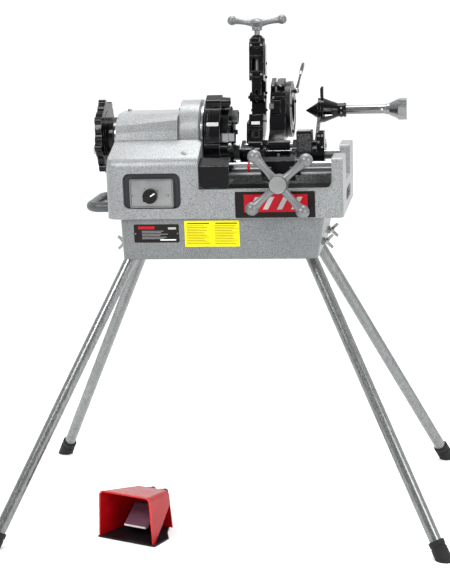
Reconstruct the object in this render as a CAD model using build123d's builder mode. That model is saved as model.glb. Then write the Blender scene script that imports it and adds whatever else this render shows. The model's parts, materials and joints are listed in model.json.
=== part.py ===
from build123d import *
import os
from math import atan, atan2, cos, degrees, hypot, pi, radians, sin, sqrt, tan

# Pipe threading machine on a folding stand, millimetres.
# +X runs along the spindle towards the reamer, +Y to the rear, +Z up.
# The origin is on the floor, midway between the four feet.

# ---- driving dimensions -------------------------------------------------
SPINDLE_Z = 1078.0            # height of the spindle axis, which lies at Y = 0
RAIL_Z = 1003.0               # height of the two guide rails
RAIL_Y = 125.0                # rails stand this far in front of and behind the spindle
RAIL_R = 14.0
RUN = 0.05                    # radial clearance of a running fit
SEAT = 0.02                   # radial clearance of a fixed seat

TRAY_BOTTOM = 760.0
BED_BOTTOM = 874.0            # the tray ends and the bed casting begins here
SILL_Z = 954.0                # top of the bed's front and rear sills
BED_LEFT = -298.0
BED_RIGHT = 350.0
BED_HALF = 200.0              # half the bed's depth
HEAD_RIGHT = -39.0            # end face of the headstock
ARM_LEFT = 320.0              # inner face of the rail arms at the right end
WALL = 9.0

BORE_R = 33.0                 # takes pipe up to 60.3 mm outside diameter
SPINDLE_R = 45.0
BUSH_R = 56.0

LEG_R = 33.7 / 2              # one-inch steel pipe
LEG_WALL = 3.2
LEG_X, LEG_Y, LEG_Z = 257.0, 109.0, 740.0      # a point that each leg's axis passes
LEG_DX, LEG_DY = 0.4836, 0.426                 # outward travel for each millimetre down
FOOT_R = 22.0

SWING_Y, SWING_Z = 162.0, 1024.0               # hinge shaft of the three tools
SWING_R = 8.0
BARREL_R = 15.0
REACH = hypot(SWING_Y, SPINDLE_Z - SWING_Z)    # hinge shaft to spindle axis
LOWERED = degrees(atan2(SPINDLE_Z - SWING_Z, -SWING_Y))   # direction of the spindle axis
CUTTER_REST = 80.0            # direction of the raised cutter, degrees up from +Y
DIE_REST = LOWERED - 130.0
REAMER_REST = LOWERED - 132.0

WHEEL_X, WHEEL_Z = 183.0, 973.0                # feed handwheel axis, along Y
CORNERS = [(-1, -1), (1, -1), (-1, 1), (1, 1)]

# Involute stub teeth, 25 degree pressure angle.
PRESSURE = radians(25)
ADDENDUM = 0.8
DEDENDUM = 1.0
BACKLASH = 0.3

os.makedirs("parts", exist_ok=True)


def unrolled(base, radius):
    """Polar angle that an involute of this base circle has turned at a radius."""
    if radius <= base:
        return 0.0
    t = sqrt((radius / base) ** 2 - 1)
    return t - atan(t)


def gear_outline(module, teeth, tooth_angle):
    """Corners of a gear's outline, with one tooth centred on tooth_angle degrees."""
    pitch = module * teeth / 2
    base = pitch * cos(PRESSURE)
    root = pitch - DEDENDUM * module
    tip = pitch + ADDENDUM * module
    half = pi / (2 * teeth) - BACKLASH / (4 * pitch) + unrolled(base, pitch)
    radii = [root, max(root, base) + 0.01, pitch, (pitch + tip) / 2, tip]
    points = []
    for i in range(teeth):
        middle = radians(tooth_angle) + 2 * pi * i / teeth
        for r in radii:
            a = middle - half + unrolled(base, r)
            points.append((r * cos(a), r * sin(a)))
        for r in reversed(radii):
            a = middle + half - unrolled(base, r)
            points.append((r * cos(a), r * sin(a)))
    return points


def across(x, y=0.0, z=SPINDLE_Z):
    """Plane across the X direction: its own x is +Y, its y is +Z, and it faces +X."""
    return Plane(origin=(x, y, z), x_dir=(0, 1, 0), z_dir=(1, 0, 0))


def turned(plane, angle):
    """The same plane, turned by an angle about its own normal."""
    x_dir = plane.x_dir * cos(radians(angle)) + plane.y_dir * sin(radians(angle))
    return Plane(origin=plane.origin, x_dir=x_dir, z_dir=plane.z_dir)


def facing_front(y, x=0.0, z=0.0):
    """Plane that faces the front: its own x is +X and its y is +Z."""
    return Plane(origin=(x, y, z), x_dir=(1, 0, 0), z_dir=(0, -1, 0))


def swing_plane(x, angle, reach=0.0):
    """Plane across the hinge shaft. Its own x points from the shaft at the angle, and it faces -X."""
    c, s = cos(radians(angle)), sin(radians(angle))
    return Plane(
        origin=(x, SWING_Y + reach * c, SWING_Z + reach * s), x_dir=(0, c, s), z_dir=(-1, 0, 0)
    )


def leg_plane(sx, sy, z):
    """Plane across a leg's axis at height z, facing down the leg."""
    drop = LEG_Z - z
    origin = (sx * (LEG_X + drop * LEG_DX), sy * (LEG_Y + drop * LEG_DY), z)
    return Plane(origin=origin, z_dir=(sx * LEG_DX, sy * LEG_DY, -1))


def leg_length(z_top, z_low):
    """Distance along a leg between two heights."""
    return (z_top - z_low) * sqrt(1 + LEG_DX**2 + LEG_DY**2)


# ==== stand ==============================================================
LEG_TOP, LEG_END = 850.0, 18.0

with BuildPart() as leg_tubes:
    for sx, sy in CORNERS:
        with BuildSketch(leg_plane(sx, sy, LEG_TOP)):
            Circle(LEG_R)
            Circle(LEG_R - LEG_WALL, mode=Mode.SUBTRACT)
        extrude(amount=leg_length(LEG_TOP, LEG_END))
leg_tubes.part.label = "leg_tubes"
export_step(leg_tubes.part, "parts/leg_tubes.step")

FOOT_TOP = 46.0
with BuildPart() as rubber_feet:
    for sx, sy in CORNERS:
        with BuildSketch(leg_plane(sx, sy, FOOT_TOP)):
            Circle(FOOT_R)
        extrude(amount=leg_length(FOOT_TOP, -30))
        with BuildSketch(leg_plane(sx, sy, FOOT_TOP - 12)):
            Circle(FOOT_R + 2)
            Circle(FOOT_R - 1.5, mode=Mode.SUBTRACT)
        extrude(amount=5, mode=Mode.SUBTRACT)
    for sx, sy in CORNERS:
        with BuildSketch(leg_plane(sx, sy, FOOT_TOP + 5)):
            Circle(LEG_R + SEAT)
        extrude(amount=leg_length(FOOT_TOP + 5, LEG_END), mode=Mode.SUBTRACT)
    split(bisect_by=Plane.XY, keep=Keep.TOP)
rubber_feet.part.label = "rubber_feet"
export_step(rubber_feet.part, "parts/rubber_feet.step")

# ==== base tray ==========================================================
TRAY_LEFT_TOP, TRAY_RIGHT_TOP, TRAY_HALF_TOP = -264.0, 298.0, 190.0
TRAY_LEFT_LOW, TRAY_RIGHT_LOW, TRAY_HALF_LOW = -262.0, 277.0, 184.0
TRAY_CORNER = 28.0
SOCKET_R = 22.0
CLAMP_Z = 790.0
CLAMP_Y = LEG_Y + (LEG_Z - CLAMP_Z) * LEG_DY
CLAMP_R = 5.0
CLAMP_TIP = LEG_X + (LEG_Z - CLAMP_Z) * LEG_DX + LEG_R * sqrt(1 + LEG_DX**2) + 0.62 * CLAMP_R


def tray_section(z, inset):
    """Rounded outline of the tray at a height, drawn inwards by an inset."""
    share = (z - TRAY_BOTTOM) / (BED_BOTTOM - TRAY_BOTTOM)
    left = TRAY_LEFT_LOW + share * (TRAY_LEFT_TOP - TRAY_LEFT_LOW) + inset
    right = TRAY_RIGHT_LOW + share * (TRAY_RIGHT_TOP - TRAY_RIGHT_LOW) - inset
    half = TRAY_HALF_LOW + share * (TRAY_HALF_TOP - TRAY_HALF_LOW) - inset
    with BuildSketch(Plane.XY.offset(z)) as section:
        with Locations(((left + right) / 2, 0)):
            RectangleRounded(right - left, 2 * half, TRAY_CORNER - inset)
    return section.sketch


with BuildPart() as base_tray:
    loft([tray_section(TRAY_BOTTOM, 0), tray_section(BED_BOTTOM, 0)])
    loft([tray_section(TRAY_BOTTOM + 6, 6), tray_section(BED_BOTTOM, 6)], mode=Mode.SUBTRACT)
    for sx, sy in CORNERS:
        with BuildSketch(leg_plane(sx, sy, LEG_TOP + 14)):
            Circle(SOCKET_R)
        extrude(amount=leg_length(LEG_TOP + 14, TRAY_BOTTOM - 6))
        with BuildSketch(Plane(origin=(sx * (CLAMP_TIP - 4), sy * CLAMP_Y, CLAMP_Z), z_dir=(sx, 0, 0))):
            Circle(11)
        extrude(amount=(290 if sx > 0 else 270) - CLAMP_TIP + 4)
    for sx, sy in CORNERS:
        with BuildSketch(leg_plane(sx, sy, LEG_TOP + 1)):
            Circle(LEG_R + SEAT)
        extrude(amount=leg_length(LEG_TOP + 1, TRAY_BOTTOM - 40), mode=Mode.SUBTRACT)
        with BuildSketch(Plane(origin=(sx * (CLAMP_TIP - 10), sy * CLAMP_Y, CLAMP_Z), z_dir=(sx, 0, 0))):
            Circle(CLAMP_R + RUN)
        extrude(amount=70, mode=Mode.SUBTRACT)
base_tray.part.label = "base_tray"
export_step(base_tray.part, "parts/base_tray.step")

# Wing screws that press on the legs, one to each socket.
for number, (sx, sy) in enumerate(CORNERS, start=1):
    boss_end = 290 if sx > 0 else 270
    with BuildPart() as leg_clamp:
        with BuildSketch(Plane(origin=(sx * CLAMP_TIP, sy * CLAMP_Y, CLAMP_Z), z_dir=(sx, 0, 0))):
            Circle(CLAMP_R)
        extrude(amount=boss_end - CLAMP_TIP + 6)
        with BuildSketch(Plane(origin=(sx * (boss_end + 2), sy * CLAMP_Y, CLAMP_Z), z_dir=(sx, 0, 0))):
            Circle(9)
        extrude(amount=9, taper=12)
        with BuildSketch(Plane(origin=(0, sy * CLAMP_Y - 2, CLAMP_Z), x_dir=(sx, 0, 0), z_dir=(0, sx, 0))):
            for side in (-1, 1):
                with BuildLine():
                    Polyline(
                        (boss_end + 4, 0), (boss_end + 12, side * 3), (boss_end + 24, side * 15),
                        (boss_end + 19, side * 21), (boss_end + 5, side * 9), close=True,
                    )
                make_face()
        extrude(amount=4 * sx)
    leg_clamp.part.label = f"leg_clamp_{number}"
    export_step(leg_clamp.part, f"parts/leg_clamp_{number}.step")

# ==== bed casting ========================================================
SHOULDER_Z = 1032.0
COVER_HALF = 112.0            # half width of the flat seat under the headstock cover
RING_LEFT, RING_RIGHT, RING_R = -107.0, -52.0, 99.0
REAR_BUSH_LEFT, REAR_BUSH_RIGHT = -291.0, -263.0
FRONT_BUSH_LEFT, FRONT_BUSH_RIGHT = -105.0, -55.0
WEB_LEFT, WEB_RIGHT = -200.0, -190.0           # inner wall that carries the motor and layshaft
UNDER_RING_Z = 1000.0         # roof of the hollow below the front bearing
FLANGE_R = 92.0
LAY_Z = SPINDLE_Z - 85.0
MOTOR_Z = LAY_Z - 48.0
WELL_LEFT, WELL_RIGHT, WELL_DEPTH = -31.0, 311.0, 66.0
RECESS_LEFT, RECESS_RIGHT, RECESS_LOW, RECESS_HIGH = -247.0, -89.0, 903.0, 999.0
RECESS_DEPTH = 7.0
PANEL_X, PANEL_Z = -168.0, 945.5
SWITCH_X = -160.0             # middle of the switch block behind the panel
ARM_TOP = 1034.0


def head_section(inset):
    """Corners of the headstock's section below the cover: upright sides, then sloping shoulders."""
    low = BED_BOTTOM - SPINDLE_Z - (20 if inset else 0)
    side = BED_HALF - inset
    high = 0.0 if inset == 0 else 20.0
    top = COVER_HALF - inset * 1.4
    shoulder = SHOULDER_Z - SPINDLE_Z - inset * 0.6
    return [
        (side, low), (side, shoulder), (top, -inset), (top, high),
        (-top, high), (-top, -inset), (-side, shoulder), (-side, low),
    ]


with BuildPart() as bed_casting:
    # Headstock: one section along X, trimmed by its front view and its rounded plan.
    with BuildSketch(across(BED_LEFT)) as head:
        with BuildLine():
            Polyline(
                (BED_HALF, BED_BOTTOM - SPINDLE_Z), (BED_HALF, SHOULDER_Z - SPINDLE_Z), (COVER_HALF, 0),
                (-COVER_HALF, 0), (-BED_HALF, SHOULDER_Z - SPINDLE_Z), (-BED_HALF, BED_BOTTOM - SPINDLE_Z),
                close=True,
            )
        make_face()
        fillet(head.vertices().group_by(Axis.Y)[1], 34)
    extrude(amount=HEAD_RIGHT - BED_LEFT)
    with BuildSketch(facing_front(0)):
        with BuildLine():
            Polyline(
                (BED_LEFT, BED_BOTTOM), (HEAD_RIGHT, BED_BOTTOM), (HEAD_RIGHT, SPINDLE_Z - 8),
                (HEAD_RIGHT - 12, SPINDLE_Z), (-282, SPINDLE_Z), (BED_LEFT, 992), close=True,
            )
        make_face()
    extrude(amount=BED_HALF, both=True, mode=Mode.INTERSECT)
    with BuildSketch(Plane.XY.offset(BED_BOTTOM)) as plan:
        with Locations(((BED_LEFT + HEAD_RIGHT) / 2, 0)):
            Rectangle(HEAD_RIGHT - BED_LEFT, 2 * BED_HALF)
        fillet(plan.vertices().group_by(Axis.X)[0], 36)
    extrude(amount=220, mode=Mode.INTERSECT)
    # Long lower body.
    with BuildSketch(Plane.XY.offset(BED_BOTTOM)) as plan:
        with Locations(((BED_LEFT + BED_RIGHT) / 2, 0)):
            Rectangle(BED_RIGHT - BED_LEFT, 2 * BED_HALF)
        fillet(plan.vertices().group_by(Axis.X)[0], 36)
        fillet(plan.vertices().group_by(Axis.X)[-1], 16)
    extrude(amount=SILL_Z - BED_BOTTOM)
    # End wall, raised into an arm at each rail.
    with BuildSketch(across(ARM_LEFT, z=0)) as end_wall:
        for side in (-1, 1):
            with BuildLine():
                Polyline(
                    (side * BED_HALF, SILL_Z - 30), (side * BED_HALF, ARM_TOP), (side * 88, ARM_TOP),
                    (side * 72, SILL_Z), (side * 72, SILL_Z - 30), close=True,
                )
            make_face()
        fillet(end_wall.vertices().group_by(Axis.Y)[-1], 9)
    extrude(amount=BED_RIGHT - ARM_LEFT)
    # Front bearing ring and its foot, which runs down into the shoulders.
    with BuildSketch(across(RING_LEFT)):
        Circle(RING_R)
        with Locations((0, -30)):
            Rectangle(2 * RING_R, 60)
    extrude(amount=RING_RIGHT - RING_LEFT)
    with BuildSketch(across(RING_RIGHT)):
        Circle(RING_R - 7)
    extrude(amount=3)

    # Hollow of the headstock, open below and under the cover.
    for left, right in ((BED_LEFT + 15, WEB_LEFT), (WEB_RIGHT, RING_LEFT)):
        with BuildSketch(across(left)):
            with BuildLine():
                Polyline(*head_section(WALL), close=True)
            make_face()
        extrude(amount=right - left, mode=Mode.SUBTRACT)
    with BuildSketch(across(RING_LEFT)):
        with Locations((0, (BED_BOTTOM - 10 + UNDER_RING_Z) / 2 - SPINDLE_Z)):
            Rectangle(2 * (BED_HALF - WALL), UNDER_RING_Z - BED_BOTTOM + 10)
    extrude(amount=HEAD_RIGHT - WALL - RING_LEFT, mode=Mode.SUBTRACT)
    # Round recess for the spindle's flange.
    with BuildSketch(across(RING_RIGHT + 3)):
        Circle(FLANGE_R + 4)
    extrude(amount=20, mode=Mode.SUBTRACT)
    with BuildSketch(across(WEB_LEFT)):
        with Locations((0, 12)):
            Rectangle(2 * (COVER_HALF - 13), 120)
    extrude(amount=WEB_RIGHT - WEB_LEFT, mode=Mode.SUBTRACT)
    # Inner bosses for the rear bush and the layshaft.
    with BuildSketch(across(BED_LEFT + 10)):
        Circle(BUSH_R + 13)
        with Locations((0, 50)):
            Rectangle(200, 100, mode=Mode.SUBTRACT)
    extrude(amount=REAR_BUSH_RIGHT - BED_LEFT - 10)
    with BuildSketch(across(BED_LEFT + 10, z=LAY_Z)):
        Circle(17)
    extrude(amount=22)
    # Well of the bed.
    with BuildSketch(Plane.XY.offset(SILL_Z - WELL_DEPTH)):
        with Locations(((WELL_LEFT + WELL_RIGHT) / 2, 0)):
            RectangleRounded(WELL_RIGHT - WELL_LEFT, 2 * (BED_HALF - 12), 20)
    extrude(amount=80, mode=Mode.SUBTRACT)
    with BuildSketch(Plane.XY.offset(BED_BOTTOM)):
        with Locations(((WELL_LEFT + WELL_RIGHT) / 2, 0)):
            RectangleRounded(WELL_RIGHT - WELL_LEFT - 60, 250, 20)
    extrude(amount=20, mode=Mode.SUBTRACT)
    # Hand recess in the right end.
    with BuildSketch(across(BED_RIGHT, z=914)):
        RectangleRounded(150, 34, 14)
    extrude(amount=-22, mode=Mode.SUBTRACT)
    # Switch recess in the front.
    with BuildSketch(facing_front(-BED_HALF + RECESS_DEPTH)):
        with Locations(((RECESS_LEFT + RECESS_RIGHT) / 2, (RECESS_LOW + RECESS_HIGH) / 2)):
            RectangleRounded(RECESS_RIGHT - RECESS_LEFT, RECESS_HIGH - RECESS_LOW, 18)
    extrude(amount=20, mode=Mode.SUBTRACT)
    with BuildSketch(facing_front(-BED_HALF + WALL + 3)):
        with Locations((SWITCH_X, PANEL_Z)):
            Rectangle(58, 50)
    extrude(amount=20, mode=Mode.SUBTRACT)
    # Bores: spindle bushes, rails, layshaft, motor.
    with BuildSketch(across(BED_LEFT - 10)):
        Circle(BUSH_R + SEAT)
    extrude(amount=RING_RIGHT - BED_LEFT + 30, mode=Mode.SUBTRACT)
    for side in (-1, 1):
        with BuildSketch(across(HEAD_RIGHT - 8, y=side * RAIL_Y, z=RAIL_Z)):
            Circle(RAIL_R + SEAT)
        extrude(amount=ARM_LEFT + 20 - HEAD_RIGHT + 8, mode=Mode.SUBTRACT)
    with BuildSketch(across(BED_LEFT + 15, z=LAY_Z)):
        Circle(8 + RUN)
    extrude(amount=WEB_RIGHT - BED_LEFT, mode=Mode.SUBTRACT)
    with BuildSketch(across(WEB_LEFT - 1, z=MOTOR_Z)):
        Circle(18)
    extrude(amount=WEB_RIGHT - WEB_LEFT + 2, mode=Mode.SUBTRACT)
bed_casting.part.label = "bed_casting"
export_step(bed_casting.part, "parts/bed_casting.step")

# ==== headstock cover ====================================================
COVER_LEFT, COVER_RIGHT, COVER_TOP = -281.0, -108.0, 1146.0
COVER_SIDE, COVER_CREST = 102.0, 58.0          # half widths at the bevel's foot and at the crest
BEVEL_LEFT, BEVEL_RIGHT = 40.0, 54.0           # height of the bevel's foot at the two ends
COVER_WALL = 6.0
COVER_SCREWS = ((-266.0, 30.0), (-120.0, 30.0))


def cover_section(x, bevel, inset=0.0):
    """Section of the cover at x; inset moves it inwards."""
    height = COVER_TOP - SPINDLE_Z - inset
    side = COVER_SIDE - inset
    half = [
        (COVER_HALF - inset * 1.2, 0), (side + 4, bevel * 0.5), (side, bevel - inset / 2),
        (side - 12, bevel + 9 - inset), (COVER_CREST, height - 2), (COVER_CREST - 14, height),
    ]
    with BuildSketch(across(x)) as section:
        with BuildLine():
            Polyline(*half, *[(-y, z) for y, z in reversed(half)], close=True)
        make_face()
    return section.sketch


with BuildPart() as headstock_cover:
    loft([cover_section(COVER_LEFT, BEVEL_LEFT), cover_section(COVER_RIGHT, BEVEL_RIGHT)], ruled=True)
    loft([
        cover_section(COVER_LEFT + COVER_WALL, BEVEL_LEFT, COVER_WALL),
        cover_section(COVER_RIGHT - COVER_WALL, BEVEL_RIGHT, COVER_WALL),
    ], ruled=True, mode=Mode.SUBTRACT)
    with BuildSketch(across(COVER_LEFT)):
        Circle(BUSH_R + 8)
        with Locations((0, -50)):
            Rectangle(200, 100, mode=Mode.SUBTRACT)
    extrude(amount=REAR_BUSH_RIGHT - COVER_LEFT)
    with BuildSketch(across(COVER_LEFT - 1)):
        Circle(BUSH_R + SEAT)
    extrude(amount=COVER_RIGHT - COVER_LEFT + 2, mode=Mode.SUBTRACT)
    with Locations(Plane.XY.offset(COVER_TOP)):
        with Locations(*COVER_SCREWS):
            Cylinder(3.2, 30, mode=Mode.SUBTRACT)
headstock_cover.part.label = "headstock_cover"
export_step(headstock_cover.part, "parts/headstock_cover.step")

with BuildPart() as cover_screws:
    with BuildSketch(Plane.XY.offset(COVER_TOP)):
        with Locations(*COVER_SCREWS):
            Circle(5.5)
    extrude(amount=5.5, taper=8)
    with BuildSketch(Plane.XY.offset(COVER_TOP - 12)):
        with Locations(*COVER_SCREWS):
            Circle(3.2 - SEAT)
    extrude(amount=12)
cover_screws.part.label = "cover_screws"
export_step(cover_screws.part, "parts/cover_screws.step")

# ==== spindle and its drive ==============================================
GEAR_LEFT, GEAR_WIDTH = -252.0, 22.0
SECOND_LEFT, SECOND_WIDTH = -222.0, 16.0

with BuildPart() as spindle_bushes:
    for left, right in ((REAR_BUSH_LEFT, REAR_BUSH_RIGHT), (FRONT_BUSH_LEFT, FRONT_BUSH_RIGHT)):
        with BuildSketch(across(left)):
            Circle(BUSH_R)
            Circle(SPINDLE_R + RUN, mode=Mode.SUBTRACT)
        extrude(amount=right - left)
spindle_bushes.part.label = "spindle_bushes"
export_step(spindle_bushes.part, "parts/spindle_bushes.step")

SPINDLE_LEFT, FLANGE_LEFT, FLANGE_RIGHT = -322.0, -47.0, -41.0
with BuildPart() as spindle:
    with BuildSketch(across(SPINDLE_LEFT)):
        Circle(SPINDLE_R)
    extrude(amount=FLANGE_RIGHT - SPINDLE_LEFT)
    with BuildSketch(across(FLANGE_LEFT)):
        Circle(FLANGE_R)
    extrude(amount=FLANGE_RIGHT - FLANGE_LEFT)
    with BuildSketch(across(SPINDLE_LEFT)):
        Circle(BORE_R)
    extrude(amount=FLANGE_RIGHT - SPINDLE_LEFT, mode=Mode.SUBTRACT)
spindle.part.label = "spindle"
export_step(spindle.part, "parts/spindle.step")

with BuildPart() as spindle_gear:
    with BuildSketch(across(GEAR_LEFT)):
        with BuildLine():
            Polyline(*gear_outline(2.5, 44, -90), close=True)
        make_face()
        Circle(SPINDLE_R + SEAT, mode=Mode.SUBTRACT)
    extrude(amount=GEAR_WIDTH)
spindle_gear.part.label = "spindle_gear"
export_step(spindle_gear.part, "parts/spindle_gear.step")

# A tooth gap of the layshaft's upper gear faces up, and a gap of its larger gear faces down.
with BuildPart() as layshaft:
    with BuildSketch(across(BED_LEFT + 16, z=LAY_Z)):
        Circle(8)
    extrude(amount=WEB_RIGHT + 1 - BED_LEFT - 16)
    with BuildSketch(across(GEAR_LEFT, z=LAY_Z)):
        with BuildLine():
            Polyline(*gear_outline(2.5, 24, 90 + 180 / 24), close=True)
        make_face()
    extrude(amount=GEAR_WIDTH)
    with BuildSketch(across(SECOND_LEFT, z=LAY_Z)):
        with BuildLine():
            Polyline(*gear_outline(2, 36, -90 + 180 / 36), close=True)
        make_face()
    extrude(amount=SECOND_WIDTH)
layshaft.part.label = "layshaft"
export_step(layshaft.part, "parts/layshaft.step")

MOTOR_LEFT, MOTOR_RIGHT, MOTOR_R = -188.0, -60.0, 46.0
with BuildPart() as motor_housing:
    with BuildSketch(across(MOTOR_LEFT, z=MOTOR_Z)):
        Circle(MOTOR_R)
    extrude(amount=MOTOR_RIGHT - MOTOR_LEFT)
    with BuildSketch(across(MOTOR_LEFT, z=MOTOR_Z)):
        Rectangle(104, 104)
    extrude(amount=7)
    with BuildSketch(across(MOTOR_LEFT + 10, z=MOTOR_Z)):
        Circle(MOTOR_R - 7)
    extrude(amount=MOTOR_RIGHT - MOTOR_LEFT - 20, mode=Mode.SUBTRACT)
    with BuildSketch(across(MOTOR_LEFT - 1, z=MOTOR_Z)):
        Circle(6 + RUN)
    extrude(amount=MOTOR_RIGHT - MOTOR_LEFT + 2, mode=Mode.SUBTRACT)
motor_housing.part.label = "motor_housing"
export_step(motor_housing.part, "parts/motor_housing.step")

with BuildPart() as motor_rotor:
    with BuildSketch(across(SECOND_LEFT - 3, z=MOTOR_Z)):
        Circle(6)
    extrude(amount=MOTOR_RIGHT + 3 - SECOND_LEFT)
    with BuildSketch(across(SECOND_LEFT, z=MOTOR_Z)):
        with BuildLine():
            Polyline(*gear_outline(2, 12, 90), close=True)
        make_face()
    extrude(amount=SECOND_WIDTH)
    with BuildSketch(across(MOTOR_LEFT + 22, z=MOTOR_Z)):
        Circle(MOTOR_R - 9)
    extrude(amount=84)
motor_rotor.part.label = "motor_rotor"
export_step(motor_rotor.part, "parts/motor_rotor.step")

# ==== front hammer chuck =================================================
CHUCK_LEFT, CHUCK_RIGHT, CHUCK_R = -41.0, 28.0, 78.0
JAW_OPEN_R = 34.0             # jaws stand clear of the bore when open
FRONT_JAW_ANGLES = (60, 180, 300)
JAW_LEFT, JAW_RIGHT, JAW_WIDTH = 10.0, 44.0, 24.0

with BuildPart() as chuck_body:
    with BuildSketch(across(CHUCK_LEFT)):
        Circle(CHUCK_R)
        Circle(BORE_R, mode=Mode.SUBTRACT)
    extrude(amount=CHUCK_RIGHT - CHUCK_LEFT)
    for angle in FRONT_JAW_ANGLES:
        with BuildSketch(turned(across(JAW_LEFT - RUN), angle)):
            with Locations((60, 0)):
                Rectangle(120, JAW_WIDTH + 2 * RUN)
        extrude(amount=60, mode=Mode.SUBTRACT)
chuck_body.part.label = "chuck_body"
export_step(chuck_body.part, "parts/chuck_body.step")

HAMMER_LEFT, HAMMER_RIGHT, HAMMER_R = -35.0, 8.0, 100.0
with BuildPart() as hammer_wheel:
    with BuildSketch(across(HAMMER_LEFT)):
        Circle(HAMMER_R)
        with PolarLocations(HAMMER_R, 4, 20):
            RectangleRounded(28, 48, 9)
        Circle(CHUCK_R + RUN, mode=Mode.SUBTRACT)
    extrude(amount=HAMMER_RIGHT - HAMMER_LEFT)
    with BuildSketch(across(HAMMER_RIGHT)):
        with PolarLocations(HAMMER_R - 2, 4, 20):
            RectangleRounded(24, 34, 8)
        Circle(CHUCK_R + 9, mode=Mode.SUBTRACT)
    extrude(amount=22, taper=4)
    with BuildSketch(across(HAMMER_LEFT + 8)):
        Circle(HAMMER_R + 1)
        Circle(HAMMER_R - 3, mode=Mode.SUBTRACT)
        with PolarLocations(HAMMER_R, 4, 20):
            RectangleRounded(40, 70, 9, mode=Mode.SUBTRACT)
    extrude(amount=5, mode=Mode.SUBTRACT)
hammer_wheel.part.label = "hammer_wheel"
export_step(hammer_wheel.part, "parts/hammer_wheel.step")

# Each jaw slides in its radial slot; its nose stands out of the chuck's face.
for number, angle in enumerate(FRONT_JAW_ANGLES, start=1):
    with BuildPart() as front_jaw:
        with BuildSketch(turned(across(JAW_LEFT), angle)):
            with Locations(((JAW_OPEN_R + 8 + 76) / 2, 0)):
                Rectangle(76 - JAW_OPEN_R - 8, JAW_WIDTH)
        extrude(amount=18)
        with BuildSketch(turned(across(JAW_LEFT), angle)):
            with BuildLine():
                Polyline(
                    (JAW_OPEN_R, -5), (JAW_OPEN_R + 12, -11), (70, -11), (70, 11),
                    (JAW_OPEN_R + 12, 11), (JAW_OPEN_R, 5), close=True,
                )
            make_face()
        extrude(amount=JAW_RIGHT - JAW_LEFT)
    front_jaw.part.label = f"front_jaw_{number}"
    export_step(front_jaw.part, f"parts/front_jaw_{number}.step")

# ==== rear centring chuck ================================================
REAR_JAW_ANGLES = (90, 210, 330)
REAR_FACE = -346.0
with BuildPart() as rear_chuck_body:
    with BuildSketch(across(-322)):
        Circle(54)
        Circle(SPINDLE_R + SEAT, mode=Mode.SUBTRACT)
    extrude(amount=22)
    with BuildSketch(across(REAR_FACE)):
        Circle(72)
        Circle(BORE_R, mode=Mode.SUBTRACT)
    extrude(amount=-322 - REAR_FACE)
    for angle in REAR_JAW_ANGLES:
        with BuildSketch(turned(across(-338 + RUN), angle)):
            with Locations((60, 0)):
                Rectangle(120, 16 + 2 * RUN)
        extrude(amount=-30, mode=Mode.SUBTRACT)
rear_chuck_body.part.label = "rear_chuck_body"
export_step(rear_chuck_body.part, "parts/rear_chuck_body.step")

with BuildPart() as rear_scroll_wheel:
    with BuildSketch(across(-342)):
        Circle(98)
        with PolarLocations(97, 8, 12):
            Circle(11)
        Circle(72 + RUN, mode=Mode.SUBTRACT)
        with PolarLocations(112, 8, 12 + 22.5):
            Circle(20, mode=Mode.SUBTRACT)
    extrude(amount=19)
rear_scroll_wheel.part.label = "rear_scroll_wheel"
export_step(rear_scroll_wheel.part, "parts/rear_scroll_wheel.step")

for number, angle in enumerate(REAR_JAW_ANGLES, start=1):
    with BuildPart() as rear_jaw:
        with BuildSketch(turned(across(-338), angle)):
            with BuildLine():
                Polyline(
                    (JAW_OPEN_R, -4), (JAW_OPEN_R + 8, -8), (70, -8), (70, 8),
                    (JAW_OPEN_R + 8, 8), (JAW_OPEN_R, 4), close=True,
                )
            make_face()
        extrude(amount=-17)
    rear_jaw.part.label = f"rear_jaw_{number}"
    export_step(rear_jaw.part, f"parts/rear_jaw_{number}.step")

# ==== fixed parts of the bed =============================================
for name, side in (("front_rail", -1), ("rear_rail", 1)):
    with BuildPart() as rail:
        with BuildSketch(across(HEAD_RIGHT - 7, y=side * RAIL_Y, z=RAIL_Z)):
            Circle(RAIL_R)
        extrude(amount=ARM_LEFT + 18 - HEAD_RIGHT + 7)
    rail.part.label = name
    export_step(rail.part, f"parts/{name}.step")

RACK_MODULE = 2.0
RACK_PITCH = pi * RACK_MODULE
PINION_TEETH = 10
PINION_R = RACK_MODULE * PINION_TEETH / 2
RACK_LINE = WHEEL_Z + PINION_R                 # pitch line
RACK_NEAR, RACK_FAR = -132.0, -120.0           # front and rear faces
RACK_TOP = RAIL_Z - RAIL_R - 0.05
TOOTH_ROOT = RACK_LINE + DEDENDUM * RACK_MODULE
TOOTH_TIP = RACK_LINE - ADDENDUM * RACK_MODULE


def rack_tooth(x):
    """Corners of a rack tooth that points down, centred on x."""
    half = (RACK_PITCH - BACKLASH) / 4
    top = half + (TOOTH_ROOT - RACK_LINE) * tan(PRESSURE)
    low = half - (RACK_LINE - TOOTH_TIP) * tan(PRESSURE)
    return [(x - top, TOOTH_ROOT + 0.5), (x - top, TOOTH_ROOT), (x - low, TOOTH_TIP),
            (x + low, TOOTH_TIP), (x + top, TOOTH_ROOT), (x + top, TOOTH_ROOT + 0.5)]


TEETH_LEFT = int((WHEEL_X - HEAD_RIGHT) / RACK_PITCH) - 2
TEETH_RIGHT = int((ARM_LEFT - WHEEL_X) / RACK_PITCH) - 2
with BuildPart() as feed_rack:
    with BuildSketch(facing_front(RACK_FAR)):
        with Locations(((HEAD_RIGHT + ARM_LEFT) / 2, (TOOTH_ROOT + RACK_TOP) / 2)):
            Rectangle(ARM_LEFT - HEAD_RIGHT, RACK_TOP - TOOTH_ROOT)
        for i in range(-TEETH_LEFT, TEETH_RIGHT):
            with BuildLine():
                Polyline(*rack_tooth(WHEEL_X + (i + 0.5) * RACK_PITCH), close=True)
            make_face()
    extrude(amount=RACK_FAR - RACK_NEAR)
feed_rack.part.label = "feed_rack"
export_step(feed_rack.part, "parts/feed_rack.step")

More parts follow.
